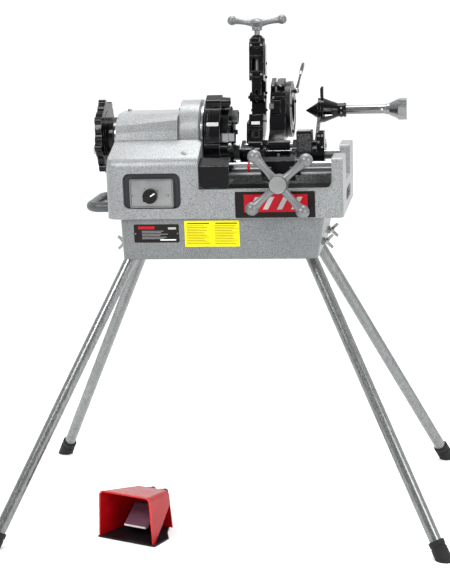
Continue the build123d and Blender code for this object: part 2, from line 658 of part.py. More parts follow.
with BuildPart() as chip_tray:
    with BuildSketch(Plane.XY.offset(SILL_Z - 66)):
        with Locations(((WELL_LEFT + WELL_RIGHT) / 2, 0)):
            RectangleRounded(WELL_RIGHT - WELL_LEFT - 4, 2 * (BED_HALF - 14), 18)
    extrude(amount=22)
    with BuildSketch(Plane.XY.offset(SILL_Z - 64)):
        with Locations(((WELL_LEFT + WELL_RIGHT) / 2, 0)):
            RectangleRounded(WELL_RIGHT - WELL_LEFT - 8, 2 * (BED_HALF - 16), 16)
    extrude(amount=30, mode=Mode.SUBTRACT)
    with BuildSketch(Plane.XY.offset(SILL_Z - 70)):
        with Locations(((WELL_LEFT + WELL_RIGHT) / 2, 0)):
            with GridLocations(26, 60, 9, 4):
                SlotOverall(44, 10, 90)
    extrude(amount=10, mode=Mode.SUBTRACT)
chip_tray.part.label = "chip_tray"
export_step(chip_tray.part, "parts/chip_tray.step")

with BuildPart() as oil_pump:
    with BuildSketch(Plane.XY.offset(TRAY_BOTTOM + 6)):
        with Locations((-150, 90)):
            Circle(30)
    extrude(amount=60)
    with BuildSketch(Plane.XY.offset(TRAY_BOTTOM + 66)):
        with Locations((-150, 90)):
            Circle(9)
    extrude(amount=24)
    fillet(oil_pump.faces().sort_by(Axis.Z)[-1].edges(), 2)
oil_pump.part.label = "oil_pump"
export_step(oil_pump.part, "parts/oil_pump.step")

HANDLE_Y, HANDLE_Z, HANDLE_R, HANDLE_OUT = 95.0, 892.0, 14.5, -367.0
with BuildPart() as carry_handle:
    with BuildLine():
        FilletPolyline(
            (BED_LEFT, -HANDLE_Y, HANDLE_Z), (HANDLE_OUT, -HANDLE_Y, HANDLE_Z),
            (HANDLE_OUT, HANDLE_Y, HANDLE_Z), (BED_LEFT, HANDLE_Y, HANDLE_Z), radius=30,
        )
    with BuildSketch(Plane(origin=(BED_LEFT, -HANDLE_Y, HANDLE_Z), z_dir=(-1, 0, 0))):
        Circle(HANDLE_R)
    sweep()
    for side in (-1, 1):
        with BuildSketch(Plane(origin=(BED_LEFT, side * HANDLE_Y, HANDLE_Z), z_dir=(-1, 0, 0))):
            Circle(HANDLE_R + 4)
        extrude(amount=5)
carry_handle.part.label = "carry_handle"
export_step(carry_handle.part, "parts/carry_handle.step")

GUARD_RIGHT, GUARD_LOW, GUARD_FRONT = 44.0, 957.0, -192.0
with BuildPart() as chuck_guard:
    with BuildSketch(across(HEAD_RIGHT, z=0)):
        with BuildLine():
            Polyline(
                (-60, GUARD_LOW), (GUARD_FRONT, GUARD_LOW), (GUARD_FRONT, 1019), (-156, 1034),
                (-156, 1031), (GUARD_FRONT + 4, 1016), (GUARD_FRONT + 4, GUARD_LOW + 3),
                (-60, GUARD_LOW + 3), close=True,
            )
        make_face()
    extrude(amount=GUARD_RIGHT - HEAD_RIGHT)
    with BuildSketch(facing_front(0)) as front_view:
        with Locations(((HEAD_RIGHT + GUARD_RIGHT) / 2, 1000)):
            Rectangle(GUARD_RIGHT - HEAD_RIGHT, 2 * (1000 - GUARD_LOW))
        fillet(front_view.vertices().group_by(Axis.Y)[0], 16)
    extrude(amount=250, both=True, mode=Mode.INTERSECT)
chuck_guard.part.label = "chuck_guard"
export_step(chuck_guard.part, "parts/chuck_guard.step")

# ==== switch =============================================================
KNOB_X, KNOB_Z = -172.0, 938.0
PANEL_FRONT = -204.0
with BuildPart() as switch_panel:
    with BuildSketch(facing_front(-BED_HALF + RECESS_DEPTH)):
        with Locations((PANEL_X, PANEL_Z)):
            RectangleRounded(120, 78, 6)
    extrude(amount=-BED_HALF + RECESS_DEPTH - PANEL_FRONT)
    with BuildSketch(facing_front(PANEL_FRONT + 2)):
        with Locations((PANEL_X, PANEL_Z)):
            RectangleRounded(112, 70, 4)
    extrude(amount=5, mode=Mode.SUBTRACT)
    with BuildSketch(facing_front(-150)):
        with Locations((SWITCH_X, PANEL_Z)):
            Rectangle(54, 44)
    extrude(amount=46)
    with BuildSketch(facing_front(-165)):
        with Locations((KNOB_X, KNOB_Z)):
            Circle(4 + RUN)
    extrude(amount=60, mode=Mode.SUBTRACT)
    for x in (-54, 46):
        with BuildSketch(facing_front(PANEL_FRONT + 2)):
            with Locations((PANEL_X + x, KNOB_Z + 2)):
                Circle(3.4)
        extrude(amount=1.4)
switch_panel.part.label = "switch_panel"
export_step(switch_panel.part, "parts/switch_panel.step")

with BuildPart() as switch_knob:
    with BuildSketch(facing_front(-166)):
        with Locations((KNOB_X, KNOB_Z)):
            Circle(4)
    extrude(amount=40)
    with BuildSketch(facing_front(PANEL_FRONT - 0.5)):
        with Locations((KNOB_X, KNOB_Z)):
            Circle(20)
    extrude(amount=8, taper=4)
    with BuildSketch(facing_front(PANEL_FRONT - 8)):
        with Locations(Location((KNOB_X, KNOB_Z), 32)):
            RectangleRounded(38, 13, 5)
    extrude(amount=11, taper=3)
switch_knob.part.label = "switch_knob"
export_step(switch_knob.part, "parts/switch_knob.step")

# ==== carriage ===========================================================
SLEEVE_R = 24.0
FRONT_SLEEVE = (128.0, 232.0)
REAR_SLEEVES = ((34.0, 108.0), (182.0, 276.0))
LUGS = ((34.0, 43.0), (94.0, 108.0), (182.0, 201.0), (256.0, 276.0))
BEAM = (186.0, 232.0)
STOPS = ((197.0, 241.5, 1072.0), (254.0, 276.0, 1068.0))   # left, right and top of each stop block
BOSS_R = 14.0
DECK_Z, DECK_THICK = 981.0, 12.0
WEB_Y, WEB_THICK = 98.0, 8.0
BARREL_GAPS = ((43.5, 93.5), (201.5, 255.5))
RAIL_CUT = 330.0
RACK_ROOF = 997.0
SHAFT_HOLE = 8.0 + RUN
# The lowered die head's blocks pass this close to the spindle's axis.
DIE_SWEEP, DIE_SWEEP_LEFT, DIE_SWEEP_RIGHT = 100.0, 105.0, 180.0
with BuildPart() as carriage:
    with BuildSketch(across(FRONT_SLEEVE[0], y=-RAIL_Y, z=RAIL_Z)):
        Circle(SLEEVE_R)
    extrude(amount=FRONT_SLEEVE[1] - FRONT_SLEEVE[0])
    for left, right in REAR_SLEEVES:
        with BuildSketch(across(left, y=RAIL_Y, z=RAIL_Z)):
            Circle(SLEEVE_R)
        extrude(amount=right - left)
    for left, right in LUGS:
        with BuildSketch(across(left, z=0)):
            with Locations((RAIL_Y, RAIL_Z)):
                Circle(SLEEVE_R - 1)
            with Locations((SWING_Y, SWING_Z)):
                Circle(BARREL_R + 2)
            make_hull()
        extrude(amount=right - left)
    with BuildSketch(across(BEAM[0], z=0)):
        with BuildLine():
            Polyline(
                (-RAIL_Y, 1020), (-70, 1012), (70, 1012), (RAIL_Y, 1020),
                (RAIL_Y, 988), (70, 990), (-70, 990), (-RAIL_Y, 988), close=True,
            )
        make_face()
    extrude(amount=BEAM[1] - BEAM[0])
    # Low deck that ties the left end to the front sleeve, and the web along the rear rail.
    with BuildSketch(Plane.XY.offset(DECK_Z)):
        with BuildLine():
            Polyline(
                (40, RAIL_Y), (BEAM[1], RAIL_Y), (BEAM[1], -RAIL_Y), (FRONT_SLEEVE[0], -RAIL_Y),
                (FRONT_SLEEVE[0], -100), (64, 70), (40, 90), close=True,
            )
        make_face()
        with BuildLine():
            Polyline((118, 62), (184, 62), (184, -96), (150, -96), close=True)
        make_face(mode=Mode.SUBTRACT)
    extrude(amount=DECK_THICK)
    with BuildSketch(across(40, z=0)):
        with Locations((WEB_Y, 1000)):
            Rectangle(WEB_THICK, 34)
    extrude(amount=190)
    # Block under the cutter's hinge.
    with BuildSketch(across(48, z=0)):
        with BuildLine():
            Polyline(
                (RAIL_Y, 1024), (104, 1030), (80, 1022), (72, 1004), (72, 984), (RAIL_Y, 984), close=True,
            )
        make_face()
    extrude(amount=56)
    # Front apron, with the pinion shaft's boss.
    with BuildSketch(across(126, z=0)):
        with BuildLine():
            Polyline((-RAIL_Y, 1030), (-152, 1022), (-156, 982), (-136, 966), (-RAIL_Y, 966), close=True)
        make_face()
    extrude(amount=92)
    with BuildSketch(facing_front(RACK_NEAR - 2, x=WHEEL_X, z=WHEEL_Z)):
        Circle(BOSS_R)
    extrude(amount=190 + RACK_NEAR - 2)
    # Stop blocks on both sides of the reamer's arm.
    for left, right, top in STOPS:
        with BuildSketch(facing_front(146)):
            with Locations(((left + right) / 2, (RAIL_Z + top) / 2)):
                RectangleRounded(right - left, top - RAIL_Z, 4)
        extrude(amount=44)
    # Room for the lowered die head, the barrels, the rails, the rack, the pinion and its shaft.
    with BuildSketch(across(DIE_SWEEP_LEFT, z=SPINDLE_Z)):
        Circle(DIE_SWEEP)
    extrude(amount=DIE_SWEEP_RIGHT - DIE_SWEEP_LEFT, mode=Mode.SUBTRACT)
    for left, right in BARREL_GAPS:
        with BuildSketch(across(left, y=SWING_Y, z=SWING_Z)):
            Circle(BARREL_R + 1)
        extrude(amount=right - left, mode=Mode.SUBTRACT)
    for side in (-1, 1):
        with BuildSketch(across(0, y=side * RAIL_Y, z=RAIL_Z)):
            Circle(RAIL_R + RUN)
        extrude(amount=RAIL_CUT, mode=Mode.SUBTRACT)
    with BuildSketch(across(0, y=(RACK_NEAR + RACK_FAR) / 2, z=(TOOTH_TIP + RACK_ROOF) / 2 - 6)):
        Rectangle(RACK_FAR - RACK_NEAR + 3, RACK_ROOF - TOOTH_TIP + 16)
    extrude(amount=RAIL_CUT, mode=Mode.SUBTRACT)
    with BuildSketch(facing_front(RACK_FAR + 6, x=WHEEL_X, z=WHEEL_Z)):
        Circle(PINION_R + 4)
    extrude(amount=RACK_FAR - RACK_NEAR + 7.5, mode=Mode.SUBTRACT)
    with BuildSketch(across(0, y=SWING_Y, z=SWING_Z)):
        Circle(SWING_R + SEAT)
    extrude(amount=RAIL_CUT, mode=Mode.SUBTRACT)
    with BuildSketch(facing_front(-110, x=WHEEL_X, z=WHEEL_Z)):
        Circle(SHAFT_HOLE)
    extrude(amount=90, mode=Mode.SUBTRACT)
carriage.part.label = "carriage"
export_step(carriage.part, "parts/carriage.step")

with BuildPart() as pinion_shaft:
    with BuildSketch(facing_front(RACK_FAR + 4, x=WHEEL_X, z=WHEEL_Z)):
        Circle(7)
    extrude(amount=14)
    with BuildSketch(facing_front(RACK_FAR + 1, x=WHEEL_X, z=WHEEL_Z)):
        with BuildLine():
            Polyline(*gear_outline(RACK_MODULE, PINION_TEETH, 90), close=True)
        make_face()
    extrude(amount=RACK_FAR - RACK_NEAR + 2)
    with BuildSketch(facing_front(RACK_NEAR - 1, x=WHEEL_X, z=WHEEL_Z)):
        Circle(8)
    extrude(amount=257 + RACK_NEAR - 1)
pinion_shaft.part.label = "pinion_shaft"
export_step(pinion_shaft.part, "parts/pinion_shaft.step")

SPOKE_ANGLES = (130, 40, 222, -50)
HUB_BACK, HUB_FRONT, BALL_REACH, BALL_R, NECK_R = -222.0, -262.0, 97.0, 18.5, 13.5
BALL_NECK = BALL_REACH - sqrt(BALL_R**2 - NECK_R**2)
with BuildPart() as handwheel:
    with BuildSketch(facing_front(HUB_BACK, x=WHEEL_X, z=WHEEL_Z)):
        Circle(25)
    extrude(amount=HUB_BACK - HUB_FRONT)
    fillet(handwheel.faces().sort_by(Axis.Y)[0].edges(), 4)
    for angle in SPOKE_ANGLES:
        a = radians(angle)
        spoke = Plane(origin=(WHEEL_X, -244, WHEEL_Z), x_dir=(cos(a), 0, sin(a)), z_dir=(-sin(a), 0, cos(a)))
        with BuildSketch(spoke):
            with BuildLine():
                Polyline((10, 0), (10, 13), (16, 13))
                ThreePointArc((16, 13), (48, 9.5), (BALL_NECK, NECK_R))
                ThreePointArc((BALL_NECK, NECK_R), (BALL_REACH, BALL_R), (BALL_REACH + BALL_R, 0))
                Line((BALL_REACH + BALL_R, 0), (10, 0))
            make_face()
        revolve(axis=Axis((WHEEL_X, -244, WHEEL_Z), (cos(a), 0, sin(a))))
    with BuildSketch(facing_front(HUB_BACK + 5, x=WHEEL_X, z=WHEEL_Z)):
        Circle(8 + SEAT)
    extrude(amount=41, mode=Mode.SUBTRACT)
handwheel.part.label = "handwheel"
export_step(handwheel.part, "parts/handwheel.step")

with BuildPart() as swing_shaft:
    with BuildSketch(across(34, y=SWING_Y, z=SWING_Z)):
        Circle(SWING_R)
    extrude(amount=244)
swing_shaft.part.label = "swing_shaft"
export_step(swing_shaft.part, "parts/swing_shaft.step")

# ==== pipe cutter ========================================================
# Drawn on swing_plane: x runs from the hinge out to the screw, y is up once it is lowered.
CUT_MID, CUT_HALF, CHANNEL_HALF = 71.5, 21.0, 13.0
CUT_W = SPINDLE_Z - SWING_Z                    # screw axis above the hinge, when lowered
ROLLER_U, ROLLER_W, ROLLER_R = 76.0, 17.0, 12.0
AXLE_R = 4.0
BLADE_U, BLADE_R, BLADE_PIN_R = 145.0, 17.0, 5.0
SCREW_R = 8.0
SCREW_END = 207.0
SPINE_W = 84.0                                 # inner face of the frame's spine
CHEEK_U, NUT_U, DOME_U = 192.0, 255.0, 324.0
CUTTER = swing_plane(CUT_MID, CUTTER_REST)


def screw_plane(u):
    """Plane across the cutter's feed screw, facing out along it."""
    origin = CUTTER.from_local_coords((u, CUT_W, 0))
    return Plane(origin=origin, x_dir=(1, 0, 0), z_dir=CUTTER.x_dir)


with BuildPart() as cutter_frame:
    with BuildSketch(CUTTER):
        Circle(BARREL_R)
    extrude(amount=CUT_HALF - 1.5, both=True)
    with BuildSketch(CUTTER):
        with BuildLine():
            Polyline(
                (0, 0), (30, 10), (70, 14), (94, 24), (94, SPINE_W), (CHEEK_U, SPINE_W), (CHEEK_U, 30),
                (302, 30), (302, 104), (84, 104), (50, 92), (-10, 18), close=True,
            )
        make_face()
    extrude(amount=CUT_HALF, both=True)
    with BuildSketch(screw_plane(280)):
        Circle(23)
    extrude(amount=34)
    with BuildSketch(screw_plane(314)):
        Circle(22)
    extrude(amount=DOME_U - 314, taper=42)
    # Hinge cheek that widens the foot to the left.
    with BuildSketch(CUTTER.offset(CUT_HALF - 2)):
        with BuildLine():
            Polyline((-8, 12), (16, 10), (66, 14), (74, 30), (70, 60), (50, 66), (20, 40), close=True)
        make_face()
    extrude(amount=8)
    # Guide channel of the slide, pocket of the rollers, and a pocket near the hinge.
    with BuildSketch(CUTTER):
        with Locations(((CHEEK_U + NUT_U) / 2 - 5, 50)):
            Rectangle(NUT_U - CHEEK_U + 10, 2 * (SPINE_W - 50))
    extrude(amount=CHANNEL_HALF, both=True, mode=Mode.SUBTRACT)
    with BuildSketch(CUTTER):
        with Locations((ROLLER_U + 6, CUT_W)):
            Rectangle(40, 2 * (ROLLER_W + ROLLER_R) + 3)
    extrude(amount=CHANNEL_HALF + 1, both=True, mode=Mode.SUBTRACT)
    with BuildSketch(CUTTER):
        with Locations((35, 6)):
            Rectangle(22, 30)
    extrude(amount=11, both=True, mode=Mode.SUBTRACT)
    for w in (-ROLLER_W, ROLLER_W):
        with BuildSketch(CUTTER):
            with Locations((ROLLER_U, CUT_W + w)):
                Circle(AXLE_R)
        extrude(amount=CUT_HALF + 5, both=True, mode=Mode.SUBTRACT)
    with BuildSketch(screw_plane(NUT_U - 5)):
        Circle(SCREW_R + RUN)
    extrude(amount=90, mode=Mode.SUBTRACT)
    with BuildSketch(CUTTER):
        Circle(SWING_R + RUN)
    extrude(amount=60, both=True, mode=Mode.SUBTRACT)
cutter_frame.part.label = "cutter_frame"
export_step(cutter_frame.part, "parts/cutter_frame.step")

with BuildPart() as cutter_slide:
    with BuildSketch(CUTTER):
        with Locations((BLADE_U, CUT_W)):
            RectangleRounded(26, 30, 6)
    extrude(amount=CUT_HALF, both=True)
    with BuildSketch(CUTTER):
        with Locations(((BLADE_U + 5 + 221) / 2, (34 + SPINE_W) / 2)):
            Rectangle(221 - BLADE_U - 5, SPINE_W - 34 - 2 * RUN)
    extrude(amount=CHANNEL_HALF - RUN, both=True)
    with BuildSketch(CUTTER):
        with Locations((BLADE_U, CUT_W)):
            Rectangle(2 * BLADE_R + 6, 2 * BLADE_R + 20)
    extrude(amount=4, both=True, mode=Mode.SUBTRACT)
    with BuildSketch(CUTTER):
        with Locations((BLADE_U, CUT_W)):
            Circle(BLADE_PIN_R)
    extrude(amount=CUT_HALF + 6, both=True)
    with BuildSketch(screw_plane(SCREW_END - 0.5)):
        Circle(SCREW_R + RUN)
    extrude(amount=20, mode=Mode.SUBTRACT)
cutter_slide.part.label = "cutter_slide"
export_step(cutter_slide.part, "parts/cutter_slide.step")

blade_centre = CUTTER.from_local_coords((BLADE_U, CUT_W, 0))
with BuildPart() as cutter_wheel:
    with BuildSketch(Plane(origin=blade_centre, x_dir=CUTTER.x_dir, z_dir=CUTTER.y_dir)):
        with BuildLine():
            Polyline(
                (BLADE_PIN_R + RUN, -3.5), (10, -3.5), (12, -2), (BLADE_R, 0), (12, 2), (10, 3.5),
                (BLADE_PIN_R + RUN, 3.5), close=True,
            )
        make_face()
    revolve(axis=Axis(blade_centre, (1, 0, 0)))
cutter_wheel.part.label = "cutter_wheel"
export_step(cutter_wheel.part, "parts/cutter_wheel.step")

for number, w in enumerate((-ROLLER_W, ROLLER_W), start=1):
    with BuildPart() as cutter_roller:
        with BuildSketch(CUTTER):
            with Locations((ROLLER_U, CUT_W + w)):
                Circle(ROLLER_R)
        extrude(amount=CHANNEL_HALF, both=True)
        with BuildSketch(CUTTER):
            with Locations((ROLLER_U, CUT_W + w)):
                Circle(AXLE_R - RUN)
        extrude(amount=CUT_HALF + 4, both=True)
    cutter_roller.part.label = f"cutter_roller_{number}"
    export_step(cutter_roller.part, f"parts/cutter_roller_{number}.step")

HANDLE_U, HANDLE_RISE = 356.0, radians(8.5)
GRIP_REACH, GRIP_R, GRIP_NECK_R = 74.0, 14.0, 10.0
GRIP_NECK = GRIP_REACH - sqrt(GRIP_R**2 - GRIP_NECK_R**2)
handle_centre = CUTTER.from_local_coords((HANDLE_U + 2, CUT_W, 0))
with BuildPart() as cutter_screw:
    with BuildSketch(screw_plane(SCREW_END)):
        Circle(SCREW_R)
    extrude(amount=HANDLE_U - SCREW_END)
    with BuildSketch(screw_plane(HANDLE_U - 17)):
        Circle(15)
    extrude(amount=10)
    with BuildSketch(Plane(origin=handle_centre, x_dir=(1, 0, 0), z_dir=CUTTER.y_dir)):
        with BuildLine():
            Polyline((0, 11), (15, 11), (22.5, 0))
            ThreePointArc((22.5, 0), (15.5, -11), (0, -15))
            Line((0, -15), (0, 11))
        make_face()
    revolve(axis=Axis(handle_centre, CUTTER.x_dir))
    for side in (-1, 1):
        out = CUTTER.z_dir * (side * cos(HANDLE_RISE)) + CUTTER.x_dir * sin(HANDLE_RISE)
        with BuildSketch(Plane(origin=handle_centre, x_dir=out, z_dir=CUTTER.y_dir)):
            with BuildLine():
                Polyline((10, 0), (10, 11), (14, 11))
                ThreePointArc((14, 11), (38, 8), (GRIP_NECK, GRIP_NECK_R))
                ThreePointArc((GRIP_NECK, GRIP_NECK_R), (GRIP_REACH, GRIP_R), (GRIP_REACH + GRIP_R, 0))
                Line((GRIP_REACH + GRIP_R, 0), (10, 0))
            make_face()
        revolve(axis=Axis(handle_centre, out))
cutter_screw.part.label = "cutter_screw"
export_step(cutter_screw.part, "parts/cutter_screw.step")

# ==== die head ===========================================================
DIE_LEFT, DIE_RIGHT, DIE_R, DIE_BORE = 109.0, 155.0, 81.0, 38.0
CHASER_ANGLES = (45, 135, 225, 315)
CHASER_TIP = 30.0
CHASER_WIDTH, CHASER_DEPTH = 18.0, 12.0
RING_DIE_RIGHT = 167.0
# Raised blocks on the rim: direction from the die head's centre, width, left and right end.
RIM_BLOCKS = ((-26, 46, 111, 153), (112, 58, 110, 122), (112, 50, 127, 150), (170, 40, 111, 140))


def die_view(x):
    return swing_plane(x, DIE_REST)


def die_face(x):
    """Plane across the die head at its own centre."""
    return swing_plane(x, DIE_REST, REACH)


with BuildPart() as die_head_body:
    with BuildSketch(die_face(DIE_RIGHT)):
        Circle(DIE_R)
    extrude(amount=DIE_RIGHT - DIE_LEFT)
    with BuildSketch(die_view(DIE_RIGHT)):
        with BuildLine():
            Polyline(
                (0, -BARREL_R), (0, BARREL_R), (52, 22), (REACH - 40, 64), (REACH - 40, -60),
                (70, -34), (52, -13), close=True,
            )
        make_face()
    extrude(amount=DIE_RIGHT - DIE_LEFT)
    with BuildSketch(die_view(DIE_RIGHT + 18)):
        Circle(BARREL_R)
    extrude(amount=DIE_RIGHT - DIE_LEFT + 18)
    # Two raised blocks on the rim and the spigot that carries the cam ring.
    for angle, wide, left, right in RIM_BLOCKS:
        with BuildSketch(turned(die_face(right), DIE_REST - angle)):
            with Locations((DIE_R - 1, 0)):
                RectangleRounded(22, wide, 4)
        extrude(amount=right - left)
    with BuildSketch(die_face(RING_DIE_RIGHT + 1)):
        Circle(DIE_BORE + 12)
    extrude(amount=RING_DIE_RIGHT + 1 - DIE_RIGHT)
    with BuildSketch(die_face(RING_DIE_RIGHT + 2)):
        Circle(DIE_BORE)
    extrude(amount=80, mode=Mode.SUBTRACT)
    for angle in CHASER_ANGLES:
        with BuildSketch(turned(die_face(DIE_LEFT + CHASER_DEPTH + RUN), angle)):
            with Locations((50, 0)):
                Rectangle(100, CHASER_WIDTH + 2 * RUN)
        extrude(amount=40, mode=Mode.SUBTRACT)
    with BuildSketch(die_view(200)):
        Circle(SWING_R + RUN)
    extrude(amount=120, mode=Mode.SUBTRACT)
die_head_body.part.label = "die_head_body"
export_step(die_head_body.part, "parts/die_head_body.step")

LEVER_OUT, LEVER_ROOT, LEVER_LONG, LEVER_LEAN = 62.0, 58.0, 90.5, 18.0
LEVER_ANGLE = DIE_REST - LEVER_OUT
with BuildPart() as die_cam_ring:
    with BuildSketch(die_face(RING_DIE_RIGHT)):
        Circle(DIE_R + 1.5)
        with PolarLocations(0, 1, LEVER_ANGLE):
            with Locations((DIE_R - 6, 0)):
                RectangleRounded(20, 34, 6)
        Circle(DIE_BORE + 12 + RUN, mode=Mode.SUBTRACT)
        with PolarLocations(0, 1, LEVER_ANGLE + 120):
            with Locations((66, 0)):
                SlotOverall(26, 9, 90, mode=Mode.SUBTRACT)
    extrude(amount=RING_DIE_RIGHT - DIE_RIGHT - RUN)
    outer_face = die_cam_ring.faces().sort_by(Axis.X)[-1]
    chamfer(outer_face.edges().filter_by(GeomType.CIRCLE).sort_by(SortBy.RADIUS)[0], 2)
die_cam_ring.part.label = "die_cam_ring"
export_step(die_cam_ring.part, "parts/die_cam_ring.step")

# Chrome lever screwed to the cam ring; it leans outwards.
ring_centre = die_face(RING_DIE_RIGHT).origin
lever_out = Vector(0, cos(radians(LEVER_OUT)), sin(radians(LEVER_OUT)))
lever_foot = ring_centre + lever_out * LEVER_ROOT + Vector(9.5, 0, 0)
lever_way = lever_out * LEVER_LONG + Vector(LEVER_LEAN, 0, 0)
with BuildPart() as die_lever:
    with Locations(Location(lever_foot)):
        Sphere(8.5)
    lever_side = lever_way.cross(Vector(0, 1, 0)).normalized()
    with BuildSketch(Plane(origin=lever_foot, x_dir=lever_way, z_dir=lever_side)):
        with BuildLine():
            Polyline((0, 0), (0, 5), (8, 4.6), (40, 3.4), (54, 3.8))
            ThreePointArc((54, 3.8), (72, 5.8), (90, 4))
            Polyline((90, 4), (92, 2), (92, 0), (0, 0))
        make_face()
    revolve(axis=Axis(lever_foot, lever_way))
    with BuildSketch(Plane(origin=ring_centre + lever_out * LEVER_ROOT, z_dir=(1, 0, 0))):
        Circle(6.5)
    extrude(amount=10)
die_lever.part.label = "die_lever"
export_step(die_lever.part, "parts/die_lever.step")

for number, angle in enumerate(CHASER_ANGLES, start=1):
    with BuildPart() as chaser:
        with BuildSketch(turned(die_face(DIE_LEFT + CHASER_DEPTH), angle)):
            with BuildLine():
                Polyline(
                    (CHASER_TIP, -3), (CHASER_TIP + 7, -CHASER_WIDTH / 2), (74, -CHASER_WIDTH / 2),
                    (74, CHASER_WIDTH / 2), (CHASER_TIP + 7, CHASER_WIDTH / 2), (CHASER_TIP, 3),
                    close=True,
                )
            make_face()
        extrude(amount=CHASER_DEPTH + 4)
    chaser.part.label = f"chaser_{number}"
    export_step(chaser.part, f"parts/chaser_{number}.step")

# ==== reamer =============================================================
ARM_X, ARM_X2 = 243.0, 252.5                   # left and right face of the arm
REAM_ROD_R = 13.25
YOKE_R, BELL_LEFT, YOKE_NECK, YOKE_RIGHT = 37.0, 260.0, 303.0, 325.0
CONE_TIP, CONE_BASE, CONE_R = 206.0, ARM_X - 1.0, 24.0
KNOB_LEFT, KNOB_RIGHT, KNOB_R = 452.0, 502.0, 32.0


def reamer_view(x):
    return swing_plane(x, REAMER_REST)


def reamer_face(x):
    return swing_plane(x, REAMER_REST, REACH)


with BuildPart() as reamer_arm:
    with BuildSketch(reamer_view(ARM_X2)):
        Circle(BARREL_R)
    extrude(amount=ARM_X2 - 206)
    with BuildSketch(reamer_view(ARM_X2)):
        with BuildLine():
            Polyline((0, -9), (30, -7.5), (REACH - 20, -9), (REACH - 20, 9), (30, 8), (0, 12), close=True)
        make_face()
        with Locations((REACH, 0)):
            Circle(YOKE_R)
    extrude(amount=ARM_X2 - ARM_X)
    # Bell that carries the shaft's collar, open through three windows.
    with BuildSketch(reamer_face(BELL_LEFT)):
        Circle(YOKE_R - 1)
    extrude(amount=BELL_LEFT - ARM_X2 + 1)
    with BuildSketch(reamer_face(BELL_LEFT)):
        Circle(YOKE_R - 1)
    with BuildSketch(reamer_face(YOKE_NECK)):
        Circle(19)
    loft()
    with BuildSketch(reamer_face(ARM_X2)):
        Circle(YOKE_R - 8)
    with BuildSketch(reamer_face(YOKE_NECK - 8)):
        Circle(16)
    loft(mode=Mode.SUBTRACT)
    for angle in (75, 195, 315):
        window = turned(reamer_face(0), angle)
        with BuildSketch(Plane(origin=window.origin, x_dir=(1, 0, 0), z_dir=window.x_dir)):
            with Locations((BELL_LEFT + 12, 0)):
                Rectangle(26, 22)
        extrude(amount=60, mode=Mode.SUBTRACT)
    with BuildSketch(reamer_face(YOKE_RIGHT)):
        Circle(20)
    extrude(amount=YOKE_RIGHT - YOKE_NECK + 8)
    with BuildSketch(reamer_face(YOKE_RIGHT + 5)):
        Circle(REAM_ROD_R + RUN)
    extrude(amount=90, mode=Mode.SUBTRACT)
    with BuildSketch(reamer_view(ARM_X2 + 5)):
        Circle(SWING_R + RUN)
    extrude(amount=90, mode=Mode.SUBTRACT)
reamer_arm.part.label = "reamer_arm"
export_step(reamer_arm.part, "parts/reamer_arm.step")

# Small upright latch on the arm's face above the shaft, with an eye at its top.
LATCH_FOOT, LATCH_TOP = YOKE_R - 0.95, 64.0    # distances from the reamer's axis
with BuildPart() as reamer_latch:
    with BuildSketch(turned(reamer_face(ARM_X2 + 6), REAMER_REST - 90)):
        with Locations(((LATCH_FOOT + LATCH_TOP) / 2, 0)):
            Rectangle(LATCH_TOP - LATCH_FOOT, 9)
        with Locations((LATCH_TOP, 0)):
            Circle(6.5)
            Circle(2.5, mode=Mode.SUBTRACT)
    extrude(amount=6 - RUN)
reamer_latch.part.label = "reamer_latch"
export_step(reamer_latch.part, "parts/reamer_latch.step")

with BuildPart() as reamer_shaft:
    with BuildSketch(reamer_face(KNOB_LEFT + 2)):
        Circle(REAM_ROD_R)
    extrude(amount=KNOB_LEFT + 2 - CONE_BASE)
    with BuildSketch(reamer_face(KNOB_LEFT + 2)):
        Circle(16)
    extrude(amount=10)
    with BuildSketch(reamer_face(KNOB_LEFT)):
        Circle(18)
    with BuildSketch(reamer_face(KNOB_LEFT + 26)):
        Circle(KNOB_R - 2)
    loft()
    with BuildSketch(reamer_face(KNOB_RIGHT)):
        RegularPolygon(KNOB_R, 8)
    extrude(amount=KNOB_RIGHT - KNOB_LEFT - 26)
    with BuildSketch(Plane(origin=reamer_face(430).origin, z_dir=(0, -1, 0))):
        Circle(3.6)
    extrude(amount=20, both=True, mode=Mode.SUBTRACT)
reamer_shaft.part.label = "reamer_shaft"
export_step(reamer_shaft.part, "parts/reamer_shaft.step")

FLUTES = 5
with BuildPart() as reamer_cone:
    with BuildSketch(reamer_face(CONE_BASE)):
        Circle(CONE_R)
    with BuildSketch(reamer_face(CONE_TIP)):
        Circle(1.5)
    loft()
    for i in range(FLUTES):
        flute = turned(reamer_face(CONE_BASE - 6), 360 / FLUTES * i)
        with BuildSketch(Plane(origin=flute.origin, x_dir=flute.x_dir, z_dir=flute.y_dir)):
            with Locations((27, 0)):
                Rectangle(18, 64)
        extrude(amount=2.5, mode=Mode.SUBTRACT)
reamer_cone.part.label = "reamer_cone"
export_step(reamer_cone.part, "parts/reamer_cone.step")

# ==== foot switch ========================================================
# It stands on the floor in front of the left legs, turned so that its mouth faces the front left.
PEDAL_TURN = radians(-22)
MOUTH_X, MOUTH_Y = -252.7, -342.5              # middle of the mouth's lower edge
MOUTH_HALF, GUARD_DEPTH, GUARD_HIGH, GUARD_BACK_HIGH = 89.0, 138.0, 137.0, 112.0
GLANDS, GLAND_Z = (-12.0, 28.0), 97.0
ACROSS = Vector(cos(PEDAL_TURN), sin(PEDAL_TURN), 0)
INTO = Vector(-sin(PEDAL_TURN), cos(PEDAL_TURN), 0)
PIVOT_DEPTH, PIVOT_Z, PIVOT_R = 112.0, 34.0, 4.0


def pedal_point(side, depth, z):
    return Vector(MOUTH_X, MOUTH_Y, z) + ACROSS * side + INTO * depth


def mouth_plane(depth):
    """Upright plane across the foot switch: its x runs to the right and its y up, facing the mouth."""
    return Plane(origin=pedal_point(0, depth, 0), x_dir=ACROSS, z_dir=-INTO)


